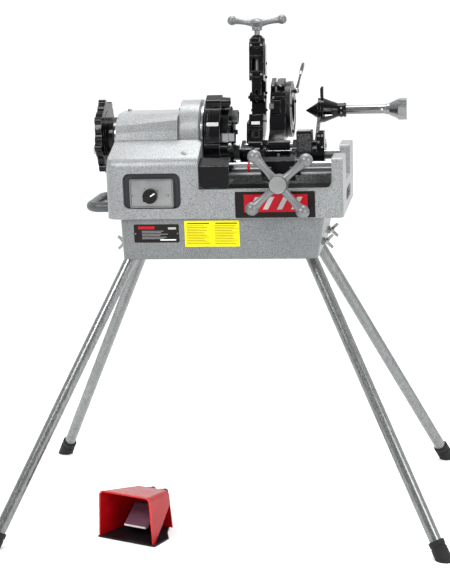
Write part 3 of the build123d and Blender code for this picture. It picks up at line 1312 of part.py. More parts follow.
def guard_section(depth, half_low, half_top, high):
    with BuildSketch(mouth_plane(depth)) as section:
        with BuildLine():
            Polyline((-half_low, 5), (half_low, 5), (half_top, high), (-half_top, high), close=True)
        make_face()
        fillet(section.vertices().group_by(Axis.Y)[-1], 14)
    return section.sketch


with BuildPart() as foot_switch_base:
    with BuildSketch(Plane(origin=pedal_point(0, 0, 0), x_dir=ACROSS, z_dir=(0, 0, 1))):
        with BuildLine():
            Polyline((-92, -3), (94, -3), (96, 66), (70, 100), (50, 142), (-50, 142), (-76, 100), close=True)
        make_face()
    extrude(amount=5)
    for side in (-1, 1):
        with BuildSketch(Plane(origin=pedal_point(side * 40 - 4, 0, 0), x_dir=INTO, z_dir=ACROSS)):
            with Locations((PIVOT_DEPTH, 22)):
                Rectangle(22, 40)
        extrude(amount=8)
    with BuildSketch(Plane(origin=pedal_point(-60, PIVOT_DEPTH, PIVOT_Z), x_dir=INTO, z_dir=ACROSS)):
        Circle(PIVOT_R)
    extrude(amount=120, mode=Mode.SUBTRACT)
foot_switch_base.part.label = "foot_switch_base"
export_step(foot_switch_base.part, "parts/foot_switch_base.step")

with BuildPart() as foot_switch_guard:
    loft([
        guard_section(0, MOUTH_HALF, MOUTH_HALF - 6, GUARD_HIGH),
        guard_section(GUARD_DEPTH, 64, 56, GUARD_BACK_HIGH),
    ])
    loft([
        guard_section(-1, MOUTH_HALF - 3, MOUTH_HALF - 9, GUARD_HIGH - 3),
        guard_section(GUARD_DEPTH - 3, 61, 53, GUARD_BACK_HIGH - 3),
    ], mode=Mode.SUBTRACT)
    with BuildSketch(Plane(origin=pedal_point(0, 0, 0), x_dir=INTO, z_dir=ACROSS)):
        with BuildLine():
            Polyline((14, 5), (GUARD_DEPTH - 4, 74), (GUARD_DEPTH - 4, 5), close=True)
        make_face()
    extrude(amount=120, mode=Mode.SUBTRACT)
    for side in GLANDS:
        with BuildSketch(mouth_plane(GUARD_DEPTH + 5)):
            with Locations((side, GLAND_Z)):
                Circle(9 + SEAT)
        extrude(amount=12, mode=Mode.SUBTRACT)
foot_switch_guard.part.label = "foot_switch_guard"
export_step(foot_switch_guard.part, "parts/foot_switch_guard.step")

with BuildPart() as foot_pedal:
    with BuildSketch(Plane(origin=pedal_point(-35, 0, 0), x_dir=INTO, z_dir=ACROSS)):
        with BuildLine():
            Polyline((44, 26), (46, 33), (104, 76), (114, 76), (121, 34), (112, 26), (103, 60), (52, 24),
                     close=True)
        make_face()
    extrude(amount=70)
    with BuildSketch(Plane(origin=pedal_point(-44, PIVOT_DEPTH, PIVOT_Z), x_dir=INTO, z_dir=ACROSS)):
        Circle(PIVOT_R - RUN)
    extrude(amount=88)
foot_pedal.part.label = "foot_pedal"
export_step(foot_pedal.part, "parts/foot_pedal.step")

with BuildPart() as cable_glands:
    for side in GLANDS:
        with BuildSketch(mouth_plane(GUARD_DEPTH - 10)):
            with Locations((side, GLAND_Z)):
                Circle(9)
        extrude(amount=-12)
        with BuildSketch(mouth_plane(GUARD_DEPTH)):
            with Locations((side, GLAND_Z)):
                RegularPolygon(15, 6)
        extrude(amount=-10)
        with BuildSketch(mouth_plane(GUARD_DEPTH + 10)):
            with Locations((side, GLAND_Z)):
                Circle(12)
        extrude(amount=-16, taper=8)
        with BuildSketch(mouth_plane(GUARD_DEPTH + 27)):
            with Locations((side, GLAND_Z)):
                Circle(4)
        extrude(amount=40, mode=Mode.SUBTRACT)
cable_glands.part.label = "cable_glands"
export_step(cable_glands.part, "parts/cable_glands.step")
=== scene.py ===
import json
import math
import random

import bmesh
import bpy
from mathutils import Matrix, Vector


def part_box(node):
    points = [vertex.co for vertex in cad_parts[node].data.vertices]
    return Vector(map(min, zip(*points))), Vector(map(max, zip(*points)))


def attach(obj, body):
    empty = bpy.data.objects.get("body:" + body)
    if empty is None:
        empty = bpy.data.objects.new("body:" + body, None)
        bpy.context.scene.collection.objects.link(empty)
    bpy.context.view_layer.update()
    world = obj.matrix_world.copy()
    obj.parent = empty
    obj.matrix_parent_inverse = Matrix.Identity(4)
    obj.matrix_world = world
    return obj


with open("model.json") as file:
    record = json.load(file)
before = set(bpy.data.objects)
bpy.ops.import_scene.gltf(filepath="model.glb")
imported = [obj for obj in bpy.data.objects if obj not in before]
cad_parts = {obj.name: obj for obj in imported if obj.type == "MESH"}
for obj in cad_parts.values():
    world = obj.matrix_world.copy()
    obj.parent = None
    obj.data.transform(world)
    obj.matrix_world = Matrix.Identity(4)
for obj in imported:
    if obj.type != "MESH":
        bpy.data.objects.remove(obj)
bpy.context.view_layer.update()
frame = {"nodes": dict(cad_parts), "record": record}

nodes = frame["nodes"]
random.seed(7)
MM = 0.001


# ---- camera -------------------------------------------------------------
CAMERA_PLACE = Vector((0.673, -4.408, 1.603))
CAMERA_YAW, CAMERA_PITCH, CAMERA_ROLL = (math.radians(a) for a in (8.77, 12.21, -1.98))
SENSOR = 36.0
LENS = 99.83


def make_camera():
    """Camera turned left, tilted down and rolled a little."""
    forward = Vector((-math.sin(CAMERA_YAW), math.cos(CAMERA_YAW), 0))
    right = Vector((math.cos(CAMERA_YAW), math.sin(CAMERA_YAW), 0))
    up = Vector((0, 0, 1))
    view = forward * math.cos(CAMERA_PITCH) - up * math.sin(CAMERA_PITCH)
    top = up * math.cos(CAMERA_PITCH) + forward * math.sin(CAMERA_PITCH)
    across = right * math.cos(CAMERA_ROLL) + top * math.sin(CAMERA_ROLL)
    head = top * math.cos(CAMERA_ROLL) - right * math.sin(CAMERA_ROLL)
    data = bpy.data.cameras.new("camera")
    data.sensor_width = SENSOR
    data.sensor_fit = "AUTO"
    data.lens = LENS
    data.clip_end = 200
    camera = bpy.data.objects.new("camera", data)
    turn = Matrix((across, head, -view)).transposed().to_4x4()
    camera.matrix_world = Matrix.Translation(CAMERA_PLACE) @ turn
    bpy.context.scene.collection.objects.link(camera)
    bpy.context.scene.camera = camera


# ---- materials ----------------------------------------------------------
def new_material(name):
    material = bpy.data.materials.new(name)
    material.use_nodes = True
    tree = material.node_tree
    return material, tree, tree.nodes["Principled BSDF"]


def add(tree, kind, **inputs):
    """A new shader node, with the values of its inputs by name."""
    node = tree.nodes.new(kind)
    for key, value in inputs.items():
        node.inputs[key.replace("_", " ")].default_value = value
    return node


def coordinates(tree, stretch=(1, 1, 1)):
    """The object's own coordinates, in metres, stretched along its axes."""
    source = tree.nodes.new("ShaderNodeTexCoord")
    mapping = tree.nodes.new("ShaderNodeMapping")
    mapping.inputs["Scale"].default_value = stretch
    tree.links.new(source.outputs["Object"], mapping.inputs["Vector"])
    return mapping.outputs["Vector"]


def noise(tree, vector, scale, detail=4.0, rough=0.6):
    node = add(tree, "ShaderNodeTexNoise", Scale=scale, Detail=detail, Roughness=rough)
    tree.links.new(vector, node.inputs["Vector"])
    return node.outputs["Fac"]


def ramp(tree, value, stops):
    """A colour ramp over a value; stops are (position, colour or grey) pairs."""
    node = tree.nodes.new("ShaderNodeValToRGB")
    elements = node.color_ramp.elements
    while len(elements) < len(stops):
        elements.new(0.5)
    for element, (position, colour) in zip(elements, stops):
        element.position = position
        grey = isinstance(colour, (int, float))
        element.color = (colour, colour, colour, 1) if grey else (*colour, 1)
    tree.links.new(value, node.inputs["Fac"])
    return node.outputs["Color"]


def mix(tree, factor, a, b, how="MIX"):
    node = tree.nodes.new("ShaderNodeMix")
    node.data_type = "RGBA"
    node.blend_type = how
    for value, slot in ((factor, 0), (a, 6), (b, 7)):
        if isinstance(value, (int, float)):
            node.inputs[slot].default_value = value if slot == 0 else (value, value, value, 1)
        elif isinstance(value, tuple):
            node.inputs[slot].default_value = (*value, 1)
        else:
            tree.links.new(value, node.inputs[slot])
    return node.outputs[2]


def edge_wear(tree, radius=0.0025):
    """White along sharp edges: how far the bevelled normal turns from the plain one."""
    bevel = add(tree, "ShaderNodeBevel", Radius=radius)
    bevel.samples = 4
    plain = tree.nodes.new("ShaderNodeNewGeometry")
    dot = tree.nodes.new("ShaderNodeVectorMath")
    dot.operation = "DOT_PRODUCT"
    tree.links.new(bevel.outputs["Normal"], dot.inputs[0])
    tree.links.new(plain.outputs["Normal"], dot.inputs[1])
    return ramp(tree, dot.outputs["Value"], ((0.72, 1.0), (0.96, 0.0)))


def bump(tree, shader, height, strength, distance, bevel=0.0015):
    """Bump from a height, on top of softly rounded edges."""
    rounded = add(tree, "ShaderNodeBevel", Radius=bevel)
    rounded.samples = 4
    node = add(tree, "ShaderNodeBump", Strength=strength, Distance=distance)
    tree.links.new(height, node.inputs["Height"])
    tree.links.new(rounded.outputs["Normal"], node.inputs["Normal"])
    tree.links.new(node.outputs["Normal"], shader.inputs["Normal"])


def hammertone(name, light, dark, scale=420.0):
    """Hammered silver paint: a mottle of light and dark flecks with dimples."""
    material, tree, shader = new_material(name)
    place = coordinates(tree)
    cells = add(tree, "ShaderNodeTexVoronoi", Scale=scale)
    cells.feature = "SMOOTH_F1"
    tree.links.new(place, cells.inputs["Vector"])
    fine = noise(tree, place, scale * 2.1, 3.0)
    broad = noise(tree, place, 9.0, 2.0)
    flecks = ramp(tree, cells.outputs["Distance"], ((0.12, light), (0.62, dark)))
    salt = ramp(tree, fine, ((0.35, 0.72), (0.62, 1.08)))
    tone = mix(tree, 1.0, flecks, salt, "MULTIPLY")
    cloud = ramp(tree, broad, ((0.3, 0.9), (0.7, 1.04)))
    tree.links.new(mix(tree, 1.0, tone, cloud, "MULTIPLY"), shader.inputs["Base Color"])
    shader.inputs["Metallic"].default_value = 0.2
    gloss = ramp(tree, fine, ((0.3, 0.26), (0.7, 0.42)))
    tree.links.new(gloss, shader.inputs["Roughness"])
    bump(tree, shader, cells.outputs["Distance"], 0.35, 0.0006, 0.004)
    return material


def paint(name, colour, rough=0.25, wear=0.0, grain=160.0, gloss=0.5, peel_depth=0.12):
    """Smooth enamel over a casting: slight orange peel, dust, and edges rubbed down to metal."""
    material, tree, shader = new_material(name)
    place = coordinates(tree)
    peel = noise(tree, place, grain, 3.0)
    smudge = noise(tree, place, 26.0, 5.0)
    darker = tuple(c * 0.72 for c in colour)
    tone = mix(tree, ramp(tree, smudge, ((0.35, 0.0), (0.7, 1.0))), darker, colour)
    if wear:
        rubbed = mix(tree, 1.0, edge_wear(tree), ramp(tree, peel, ((0.42, 0.0), (0.6, wear))), "MULTIPLY")
        tone = mix(tree, rubbed, tone, (0.32, 0.32, 0.31))
    tree.links.new(tone, shader.inputs["Base Color"])
    gleam = ramp(tree, smudge, ((0.3, rough * 0.75), (0.75, rough * 1.5)))
    tree.links.new(gleam, shader.inputs["Roughness"])
    shader.inputs["Specular IOR Level"].default_value = gloss
    bump(tree, shader, peel, peel_depth, 0.0008, 0.002)
    return material


def metal(name, colour, rough, stretch=(1, 1, 1), grain=500.0, depth=0.08, metallic=1.0, bevel=0.0012):
    """Bare metal with a grain that the stretch draws out along an axis."""
    material, tree, shader = new_material(name)
    place = coordinates(tree, stretch)
    fine = noise(tree, place, grain, 4.0)
    stain = noise(tree, coordinates(tree), 22.0, 5.0)
    darker = tuple(c * 0.6 for c in colour)
    tone = mix(tree, ramp(tree, fine, ((0.3, 0.15), (0.65, 1.0))), darker, colour)
    tone = mix(tree, 1.0, tone, ramp(tree, stain, ((0.3, 0.8), (0.65, 1.0))), "MULTIPLY")
    tree.links.new(tone, shader.inputs["Base Color"])
    shader.inputs["Metallic"].default_value = metallic
    tree.links.new(ramp(tree, fine, ((0.3, rough * 0.8), (0.7, rough * 1.35))), shader.inputs["Roughness"])
    bump(tree, shader, fine, depth, 0.0004, bevel)
    return material


def galvanised(name):
    """Zinc-coated pipe: streaks along the tube and a dull spangle."""
    material, tree, shader = new_material(name)
    streak = noise(tree, coordinates(tree, (1, 1, 0.1)), 420.0, 4.0, 0.6)
    spangle = add(tree, "ShaderNodeTexVoronoi", Scale=120.0)
    tree.links.new(coordinates(tree, (1, 1, 0.5)), spangle.inputs["Vector"])
    share = ramp(tree, streak, ((0.35, 0.0), (0.65, 1.0)))
    tone = mix(tree, share, (0.16, 0.168, 0.168), (0.26, 0.268, 0.268))
    cells = ramp(tree, spangle.outputs["Color"], ((0.0, 0.85), (1.0, 1.05)))
    tree.links.new(mix(tree, 1.0, tone, cells, "MULTIPLY"), shader.inputs["Base Color"])
    shader.inputs["Metallic"].default_value = 0.9
    tree.links.new(ramp(tree, streak, ((0.3, 0.2), (0.7, 0.38))), shader.inputs["Roughness"])
    bump(tree, shader, streak, 0.15, 0.0005)
    return material


def plastic(name, colour, rough, grain=900.0, depth=0.1):
    material, tree, shader = new_material(name)
    place = coordinates(tree)
    fine = noise(tree, place, grain, 2.0)
    soft = noise(tree, place, 30.0, 4.0)
    darker = tuple(c * 0.8 for c in colour)
    tree.links.new(mix(tree, soft, darker, colour), shader.inputs["Base Color"])
    tree.links.new(ramp(tree, soft, ((0.3, rough * 0.85), (0.7, rough * 1.2))), shader.inputs["Roughness"])
    shader.inputs["Specular IOR Level"].default_value = 0.2
    bump(tree, shader, fine, depth, 0.0004)
    return material


MATERIALS = {
    "hammertone": hammertone("hammertone", (0.41, 0.424, 0.428), (0.15, 0.16, 0.163), 600.0),
    # Speckled hammertone made far lighter than the bed's paint: painted light for the shaded wall inside
    # the well.
    "well_speckle_painted_light": hammertone("well_speckle_painted_light", (0.8, 0.81, 0.8), (0.25, 0.26, 0.26), 380.0),
    "tray_paint": hammertone("tray_paint", (0.27, 0.285, 0.288), (0.095, 0.105, 0.108), 600.0),
    "galvanised": galvanised("galvanised"),
    "rubber": plastic("rubber", (0.015, 0.015, 0.016), 0.6, 1200.0, 0.2),
    "zinc": metal("zinc", (0.36, 0.355, 0.33), 0.32),
    "bronze": metal("bronze", (0.62, 0.42, 0.2), 0.35),
    "steel": metal("steel", (0.40, 0.41, 0.415), 0.17, (0.04, 1, 1), 700.0),
    "black_paint": paint("black_paint", (0.003, 0.003, 0.004), 0.13, 0.6, 55.0, 0.2, 0.5),
    "black_oxide": paint("black_oxide", (0.005, 0.005, 0.006), 0.24, 0.3, 90.0, 0.16, 0.3),
    "cam_plate": paint("cam_plate", (0.012, 0.012, 0.013), 0.25, 0.9, 90.0, 0.2, 0.3),
    "chrome": metal("chrome", (0.36, 0.365, 0.37), 0.1),
    "cast_aluminium": metal("cast_aluminium", (0.21, 0.215, 0.22), 0.36, (1, 1, 1), 900.0, 0.25, 0.55),
    "machined": metal("machined", (0.34, 0.345, 0.345), 0.3, (1, 1, 1), 1500.0, 0.2, 0.8),
    "dark_steel": metal("dark_steel", (0.10, 0.105, 0.11), 0.3, (1, 1, 1), 500.0, 0.3, 0.8),
    "worn_steel": metal("worn_steel", (0.34, 0.34, 0.34), 0.36, (1, 1, 1), 300.0, 0.35, 0.9),
    # Lighter, duller steel for the feed rack: painted light for its teeth, which sit in shade.
    "rack_painted_light_steel": metal("rack_painted_light_steel", (0.6, 0.61, 0.61), 0.4, (1, 1, 1), 700.0, 0.2, 0.3),
    "satin_steel": metal("satin_steel", (0.27, 0.275, 0.28), 0.22, (0.1, 1, 1), 600.0, 0.3),
    "dull_zinc": metal("dull_zinc", (0.26, 0.26, 0.25), 0.42),
    "mottled": hammertone("mottled", (0.16, 0.165, 0.165), (0.01, 0.011, 0.012), 300.0),
    "handle_paint": paint("handle_paint", (0.085, 0.095, 0.1), 0.34, 0.0, 160.0, 0.3),
    "black_plastic": plastic("black_plastic", (0.008, 0.008, 0.009), 0.36),
    "red_paint": paint("red_paint", (0.40, 0.003, 0.006), 0.2, 0.0, 120.0, 0.12),
    # Lighter red for the guard's rolled rim: the bead is real, its lighter colour is a painted highlight.
    "rim_red_painted_highlight": paint("rim_red_painted_highlight", (0.62, 0.02, 0.015), 0.2, 0.0, 120.0, 0.3),
    "pedal_plastic": plastic("pedal_plastic", (0.17, 0.075, 0.12), 0.4, 240.0, 0.5),
    "recess_grey": plastic("recess_grey", (0.028, 0.03, 0.034), 0.55),
    "label_black": plastic("label_black", (0.006, 0.004, 0.003), 0.4),
    "label_red": plastic("label_red", (0.42, 0.003, 0.012), 0.4),
    "label_yellow": plastic("label_yellow", (0.80, 0.70, 0.003), 0.45),
    "label_ink": plastic("label_ink", (0.08, 0.075, 0.01), 0.5),
    "label_grey": plastic("label_grey", (0.42, 0.42, 0.42), 0.5),
    "label_white": plastic("label_white", (0.85, 0.84, 0.82), 0.4),
}
SLOT_OF = {entry["node"]: entry["material_slot"] for entry in frame["record"]["subparts"]}
# Nodes whose surface differs from the rest of their slot; the feed rack's lighter steel is painted light,
# so its shaded teeth show under the rail.
LOOK_OF = {"feed_rack": "rack_painted_light_steel", "reamer_shaft": "satin_steel", "chip_tray": "dull_zinc"}


def dress_frame():
    for name, node in nodes.items():
        node.data.materials.clear()
        node.data.materials.append(MATERIALS[LOOK_OF.get(name, SLOT_OF[name])])


# ---- mesh helpers -------------------------------------------------------
def finish_piece(name, mesh, body, material, place=None, smooth=False):
    """Links a mesh as a piece that rides on a body."""
    data = bpy.data.meshes.new(name)
    mesh.to_mesh(data)
    mesh.free()
    data.materials.append(MATERIALS[material])
    for polygon in data.polygons:
        polygon.use_smooth = smooth
    piece = bpy.data.objects.new(name, data)
    bpy.context.scene.collection.objects.link(piece)
    if place is not None:
        data.transform(place)
    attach(piece, body)
    return piece


def rounded_outline(width, height, corner, steps=6):
    """Corners of a rounded rectangle about the origin, counter-clockwise."""
    points = []
    for i, (sx, sy) in enumerate(((1, 1), (-1, 1), (-1, -1), (1, -1))):
        for step in range(steps + 1):
            a = math.pi / 2 * (i + step / steps)
            x = sx * (width / 2 - corner) + corner * math.cos(a)
            y = sy * (height / 2 - corner) + corner * math.sin(a)
            points.append((x, y))
    return points


def prism(points, depth, bevel=0.0):
    """A closed slab: the outline in x and y, from z = 0 up to the depth, with a bevelled top edge."""
    mesh = bmesh.new()
    levels = [(0.0, 0.0), (depth - bevel, 0.0)]
    if bevel:
        levels.append((depth, bevel))
    rings = []
    for z, inset in levels:
        ring = []
        for x, y in points:
            length = math.hypot(x, y) or 1.0
            ring.append(mesh.verts.new((x - inset * x / length, y - inset * y / length, z)))
        rings.append(ring)
    for low, high in zip(rings, rings[1:]):
        for i in range(len(points)):
            j = (i + 1) % len(points)
            mesh.faces.new((low[i], low[j], high[j], high[i]))
    mesh.faces.new(list(reversed(rings[0])))
    mesh.faces.new(rings[-1])
    bmesh.ops.recalc_face_normals(mesh, faces=mesh.faces)
    return mesh


def lathe(profile, steps=32):
    """A closed turned shape: (radius, z) points about the z axis, from end to end."""
    mesh = bmesh.new()
    rings = []
    for radius, z in profile:
        if radius < 1e-6:
            rings.append([mesh.verts.new((0, 0, z))])
        else:
            rings.append([
                mesh.verts.new((radius * math.cos(a), radius * math.sin(a), z))
                for a in (2 * math.pi * i / steps for i in range(steps))
            ])
    for low, high in zip(rings, rings[1:]):
        for i in range(steps):
            j = (i + 1) % steps
            corners = [low[i % len(low)], low[j % len(low)], high[j % len(high)], high[i % len(high)]]
            unique = list(dict.fromkeys(corners))
            mesh.faces.new(unique)
    bmesh.ops.recalc_face_normals(mesh, faces=mesh.faces)
    return mesh


def front_place(x, y, z, turn=0.0):
    """Puts a slab on an upright face that looks to the front: its x to +X and its y up."""
    return (
        Matrix.Translation((x, y, z)) @ Matrix.Rotation(math.radians(90), 4, "X")
        @ Matrix.Rotation(turn, 4, "Z")
    )


def front_slab(name, x, y, z, width, height, depth, corner, body, material, bevel=0.0003):
    outline = rounded_outline(width, height, corner)
    return finish_piece(name, prism(outline, depth, bevel), body, material, front_place(x, y, z))


# ---- details ------------------------------------------------------------
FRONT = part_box("bed_casting")[0].y
PLATE = 0.9 * MM


def front_plate():
    """Black plate with a red panel on the bed's front, with slanted light bars."""
    x, z, width, height = 167 * MM, 911.5 * MM, 216 * MM, 71 * MM
    front_slab("front_plate", x, FRONT, z, width, height, PLATE, 3 * MM, "root",
               "label_black")
    panel_x, panel_z, panel_width, panel_height = x + 2 * MM, z + 4 * MM, 172 * MM, 48 * MM
    front_slab("front_plate_panel", panel_x, FRONT - PLATE, panel_z, panel_width, panel_height,
               0.3 * MM, 1 * MM, "root", "label_red", 0.1 * MM)
    slant = 9 * MM
    for i in range(4):
        middle = panel_x + (i - 1.5) * 38 * MM
        half, tall = 7 * MM, 17 * MM
        outline = [(middle - half - slant, -tall), (middle + half - slant, -tall),
                   (middle + half + slant, tall), (middle - half + slant, tall)]
        mesh = prism([(px - middle, py) for px, py in outline], 0.25 * MM)
        finish_piece(f"front_plate_bar_{i + 1}", mesh, "root", "label_grey",
                     front_place(middle, FRONT - PLATE - 0.3 * MM, panel_z))


def steep_place(origin, out, along):
    """Puts a slab's back on the origin, with its z pointing out and its x along the given way."""
    z = Vector(out).normalized()
    x = Vector(along).normalized()
    turn = Matrix((x, z.cross(x), z)).transposed().to_4x4()
    return Matrix.Translation(Vector(origin) * MM) @ turn


def slab(name, place, width, height, depth, body, material, corner=1.0):
    """Rounded rectangular slab, sizes in millimetres."""
    outline = rounded_outline(width * MM, height * MM, corner * MM)
    mesh = prism(outline, depth * MM, min(0.3, depth / 3) * MM)
    return finish_piece(name, mesh, body, material, place)


def screw(name, place, radius, height, body, material="black_oxide"):
    """Cap screw with a socket, along the place's z."""
    profile = [(0, 0), (radius, 0), (radius, height * 0.8), (radius * 0.86, height),
               (radius * 0.5, height), (radius * 0.42, height * 0.5), (0, height * 0.5)]
    points = [(r * MM, z * MM) for r, z in profile]
    finish_piece(name, lathe(points, 20), body, material, place, smooth=False)


TRAY_TILT = math.radians(3.0)
TRAY_FOOT, TRAY_HALF, TRAY_SPREAD = 760.0, 184.0, 6.0 / 114.0
TRAY_OUT = (0, -math.cos(TRAY_TILT), -math.sin(TRAY_TILT))


def tray_place(x, z, lift=0.0):
    """A place on the tray's sloping front, in millimetres."""
    y = -(TRAY_HALF + (z - TRAY_FOOT) * TRAY_SPREAD)
    origin = Vector((x, y, z)) + Vector(TRAY_OUT) * lift
    return steep_place(origin, TRAY_OUT, (1, 0, 0))


def data_plate():
    """Black plate with light lines that stand for its text."""
    slab("data_plate", tray_place(-161.5, 833), 125, 51, 0.6, "root", "label_black", 3)
    slab("data_plate_mark", tray_place(-189, 849, 0.6), 46, 8, 0.15, "root", "label_red", 0.5)
    for i in range(6):
        wide = random.uniform(48, 84)
        place = tray_place(-202 + wide / 2, 839.5 - i * 4.2, 0.6)
        slab(f"data_plate_line_{i + 1}", place, wide, 1.1, 0.12, "root", "label_grey", 0.3)
    slab("data_plate_field", tray_place(-130, 815, 0.6), 44, 3.4, 0.15, "root", "label_white", 0.3)
    slab("data_plate_stamp", tray_place(-118, 847, 0.6), 22, 6, 0.12, "root", "label_grey", 0.5)
    for i, x in enumerate((-220, -103)):
        screw(f"data_plate_rivet_{i + 1}", tray_place(x, 833, 0.6), 2.0, 1.2, "root", "machined")


def yellow_label():
    slab("side_label", tray_place(-8.5, 831.5), 151, 73, 0.4, "root", "label_yellow", 2)
    for column, left in enumerate((-78, -1)):
        slab(f"side_label_head_{column + 1}", tray_place(left + 33, 860, 0.4), 60, 3.2, 0.12, "root",
             "label_ink", 0.4)
        for i in range(12):
            wide = random.uniform(48, 66)
            place = tray_place(left + wide / 2, 853.5 - i * 4.5, 0.4)
            slab(f"side_label_line_{column + 1}_{i + 1}", place, wide, 1.3, 0.12, "root", "label_ink",
                 0.3)


def switch_details():
    """Dark recess, brushed face plate with ticks, and the knob's white pointer."""
    recess = steep_place((-168, -193, 951), (0, -1, 0), (1, 0, 0))
    slab("switch_recess_floor", recess, 156, 94, 0.4, "root", "recess_grey", 8)
    face = steep_place((-168, -202, 945.5), (0, -1, 0), (1, 0, 0))
    slab("switch_face", face, 111, 69, 0.5, "root", "machined", 4)
    for i, angle in enumerate((35, 125, 215)):
        a = math.radians(angle)
        middle = (-172 + 25.5 * math.cos(a), -202.5, 938 + 25.5 * math.sin(a))
        place = steep_place(middle, (0, -1, 0), (math.cos(a), 0, math.sin(a)))
        slab(f"switch_tick_{i + 1}", place, 5, 1.4, 0.2, "root", "label_black", 0.3)
    a = math.radians(32)
    tip = (-172 + 12 * math.cos(a), -223, 938 + 12 * math.sin(a))
    slab("knob_pointer", steep_place(tip, (0, -1, 0), (math.cos(a), 0, math.sin(a))), 15, 3.2, 0.6,
         "switch_knob", "label_white", 1)


def band(name, x, width, inner, outer, y, z, body, material):
    """Thin band around a shaft that lies along X."""
    profile = [(inner, 0), (outer - 0.2, 0), (outer, 0.2), (outer, width - 0.2), (outer - 0.2, width),
               (inner, width), (inner, 0)]
    mesh = lathe([(r * MM, h * MM) for r, h in profile], 48)
    bmesh.ops.remove_doubles(mesh, verts=mesh.verts, dist=1e-6)
    finish_piece(name, mesh, body, material, steep_place((x, y, z), (1, 0, 0), (0, 1, 0)))


SPINDLE_Z = 1078.0


def headstock_details():
    # Light speckled sheet on the well's rear inner wall: painted light where the wall lies in shade.
    wall = steep_place((140, 188, 921), (0, -1, 0), (1, 0, 0))
    slab("well_back_painted_light", wall, 330, 62, 0.5, "root", "well_speckle_painted_light", 3)
    band("rail_ring", 87, 7, 14.05, 14.9, -125, 1003, "root", "label_red")
    slope = (0, -46, 88)
    plug = steep_place((-80, -165, 1078 - 53 * 46 / 88), slope, (1, 0, 0))
    profile = [(0, 0), (10, 0), (10, 1.2), (8, 2), (6.5, 1.4), (6, 3), (3, 4.2), (0, 4.4)]
    mesh = lathe([(r * MM, h * MM) for r, h in profile], 28)
    finish_piece("oil_plug", mesh, "root", "machined", plug)
    # Thin lighter strip along the guard's folded top edge: a painted highlight.
    edge = steep_place((2, -192.2, 1016), (0, -1, 0), (1, 0, 0))
    slab("guard_fold_painted_highlight", edge, 80, 3, 0.5, "root", "mottled", 0.5)
    for i, angle in enumerate((0, 120, 240)):
        a = math.radians(angle)
        place = steep_place((28, 56 * math.cos(a), SPINDLE_Z + 56 * math.sin(a)), (1, 0, 0), (0, 1, 0))
        screw(f"chuck_screw_{i + 1}", place, 7, 8, "spindle")
    for i, angle in enumerate((67, 157, 247, 337)):
        a = math.radians(angle)
        out = (0, math.cos(a), math.sin(a))
        place = steep_place((-12, 99.6 * out[1], SPINDLE_Z + 99.6 * out[2]), out, (1, 0, 0))
        slab(f"hammer_pad_{i + 1}", place, 34, 11, 1.6, "hammer_wheel", "worn_steel", 3)


# ---- carriage tools -----------------------------------------------------
HINGE = Vector((0, 162, 1024))
CUTTER_ANGLE = math.radians(80)
CUTTER_U = Vector((0, math.cos(CUTTER_ANGLE), math.sin(CUTTER_ANGLE)))
CUTTER_W = Vector((0, math.sin(CUTTER_ANGLE), -math.cos(CUTTER_ANGLE)))
CUTTER_X = 71.5
HINGE_REACH = math.hypot(162, 54)
LOWERED = math.atan2(54, -162)
DIE_ANGLE = LOWERED - math.radians(130)
REAMER_ANGLE = LOWERED - math.radians(132)


def cutter_point(x, u, w):
    return HINGE + Vector((x, 0, 0)) + CUTTER_U * u + CUTTER_W * w


def cutter_details():
    """Ribs, plates and screws on the cutter's front and sides."""
    front = -CUTTER_W
    for i, (u, wide, tall) in enumerate(((286, 38, 5), (262, 38, 4), (214, 38, 6), (200, 34, 4))):
        place = steep_place(cutter_point(CUTTER_X, u, 30), front, (1, 0, 0))
        slab(f"cutter_rib_{i + 1}", place, wide, tall, 4, "cutter_frame", "black_paint", 1.5)
    for i, (x, u) in enumerate(((-15, 293), (15, 293), (-15, 208), (15, 208))):
        place = steep_place(cutter_point(CUTTER_X + x, u, 30), front, (1, 0, 0))
        screw(f"cutter_screw_head_{i + 1}", place, 3.6, 5.5, "cutter_frame", "machined")
    place = steep_place(cutter_point(CUTTER_X + 1, 36, 14.5), front, (1, 0, 0))
    slab("cutter_window_frame", place, 24, 26, 1.4, "cutter_frame", "dark_steel", 3)
    place = steep_place(cutter_point(CUTTER_X + 1, 36, 13.1), front, (1, 0, 0))
    slab("cutter_window", place, 12, 15, 0.4, "cutter_frame", "label_black", 2)
    place = steep_place(cutter_point(CUTTER_X - 1, 67, 13.6), front, (1, 0, 0))
    slab("cutter_label", place, 25, 9, 1.2, "cutter_frame", "label_white", 1)
    for i, u in enumerate((48, 56)):
        place = steep_place(cutter_point(CUTTER_X, u, 12.4), front, (1, 0, 0))
        slab(f"cutter_foot_rib_{i + 1}", place, 40, 3, 2.4, "cutter_frame", "black_paint", 1)
    for side in (-1, 1):
        for i, (u, w) in enumerate(((246, 92), (206, 92), (160, 94), (110, 94))):
            place = steep_place(cutter_point(CUTTER_X + 21 * side, u, w), (side, 0, 0), (0, 1, 0))
            screw(f"cutter_side_screw_{'lr'[side > 0]}_{i + 1}", place, 4, 3.2, "cutter_frame")
        place = steep_place(cutter_point(CUTTER_X + 21 * side, 252, 60), (side, 0, 0), CUTTER_U)
        slab(f"cutter_side_rib_{'lr'[side > 0]}", place, 84, 22, 2.5, "cutter_frame", "black_paint",
             4)


def rim_place(x, centre, radius, angle):
    """Outward place on a disc's rim at an angle from the rear, in degrees."""
    a = math.radians(angle)
    out = Vector((0, math.cos(a), math.sin(a)))
    return steep_place(Vector((x, 0, 0)) + centre + out * radius, out, (1, 0, 0))


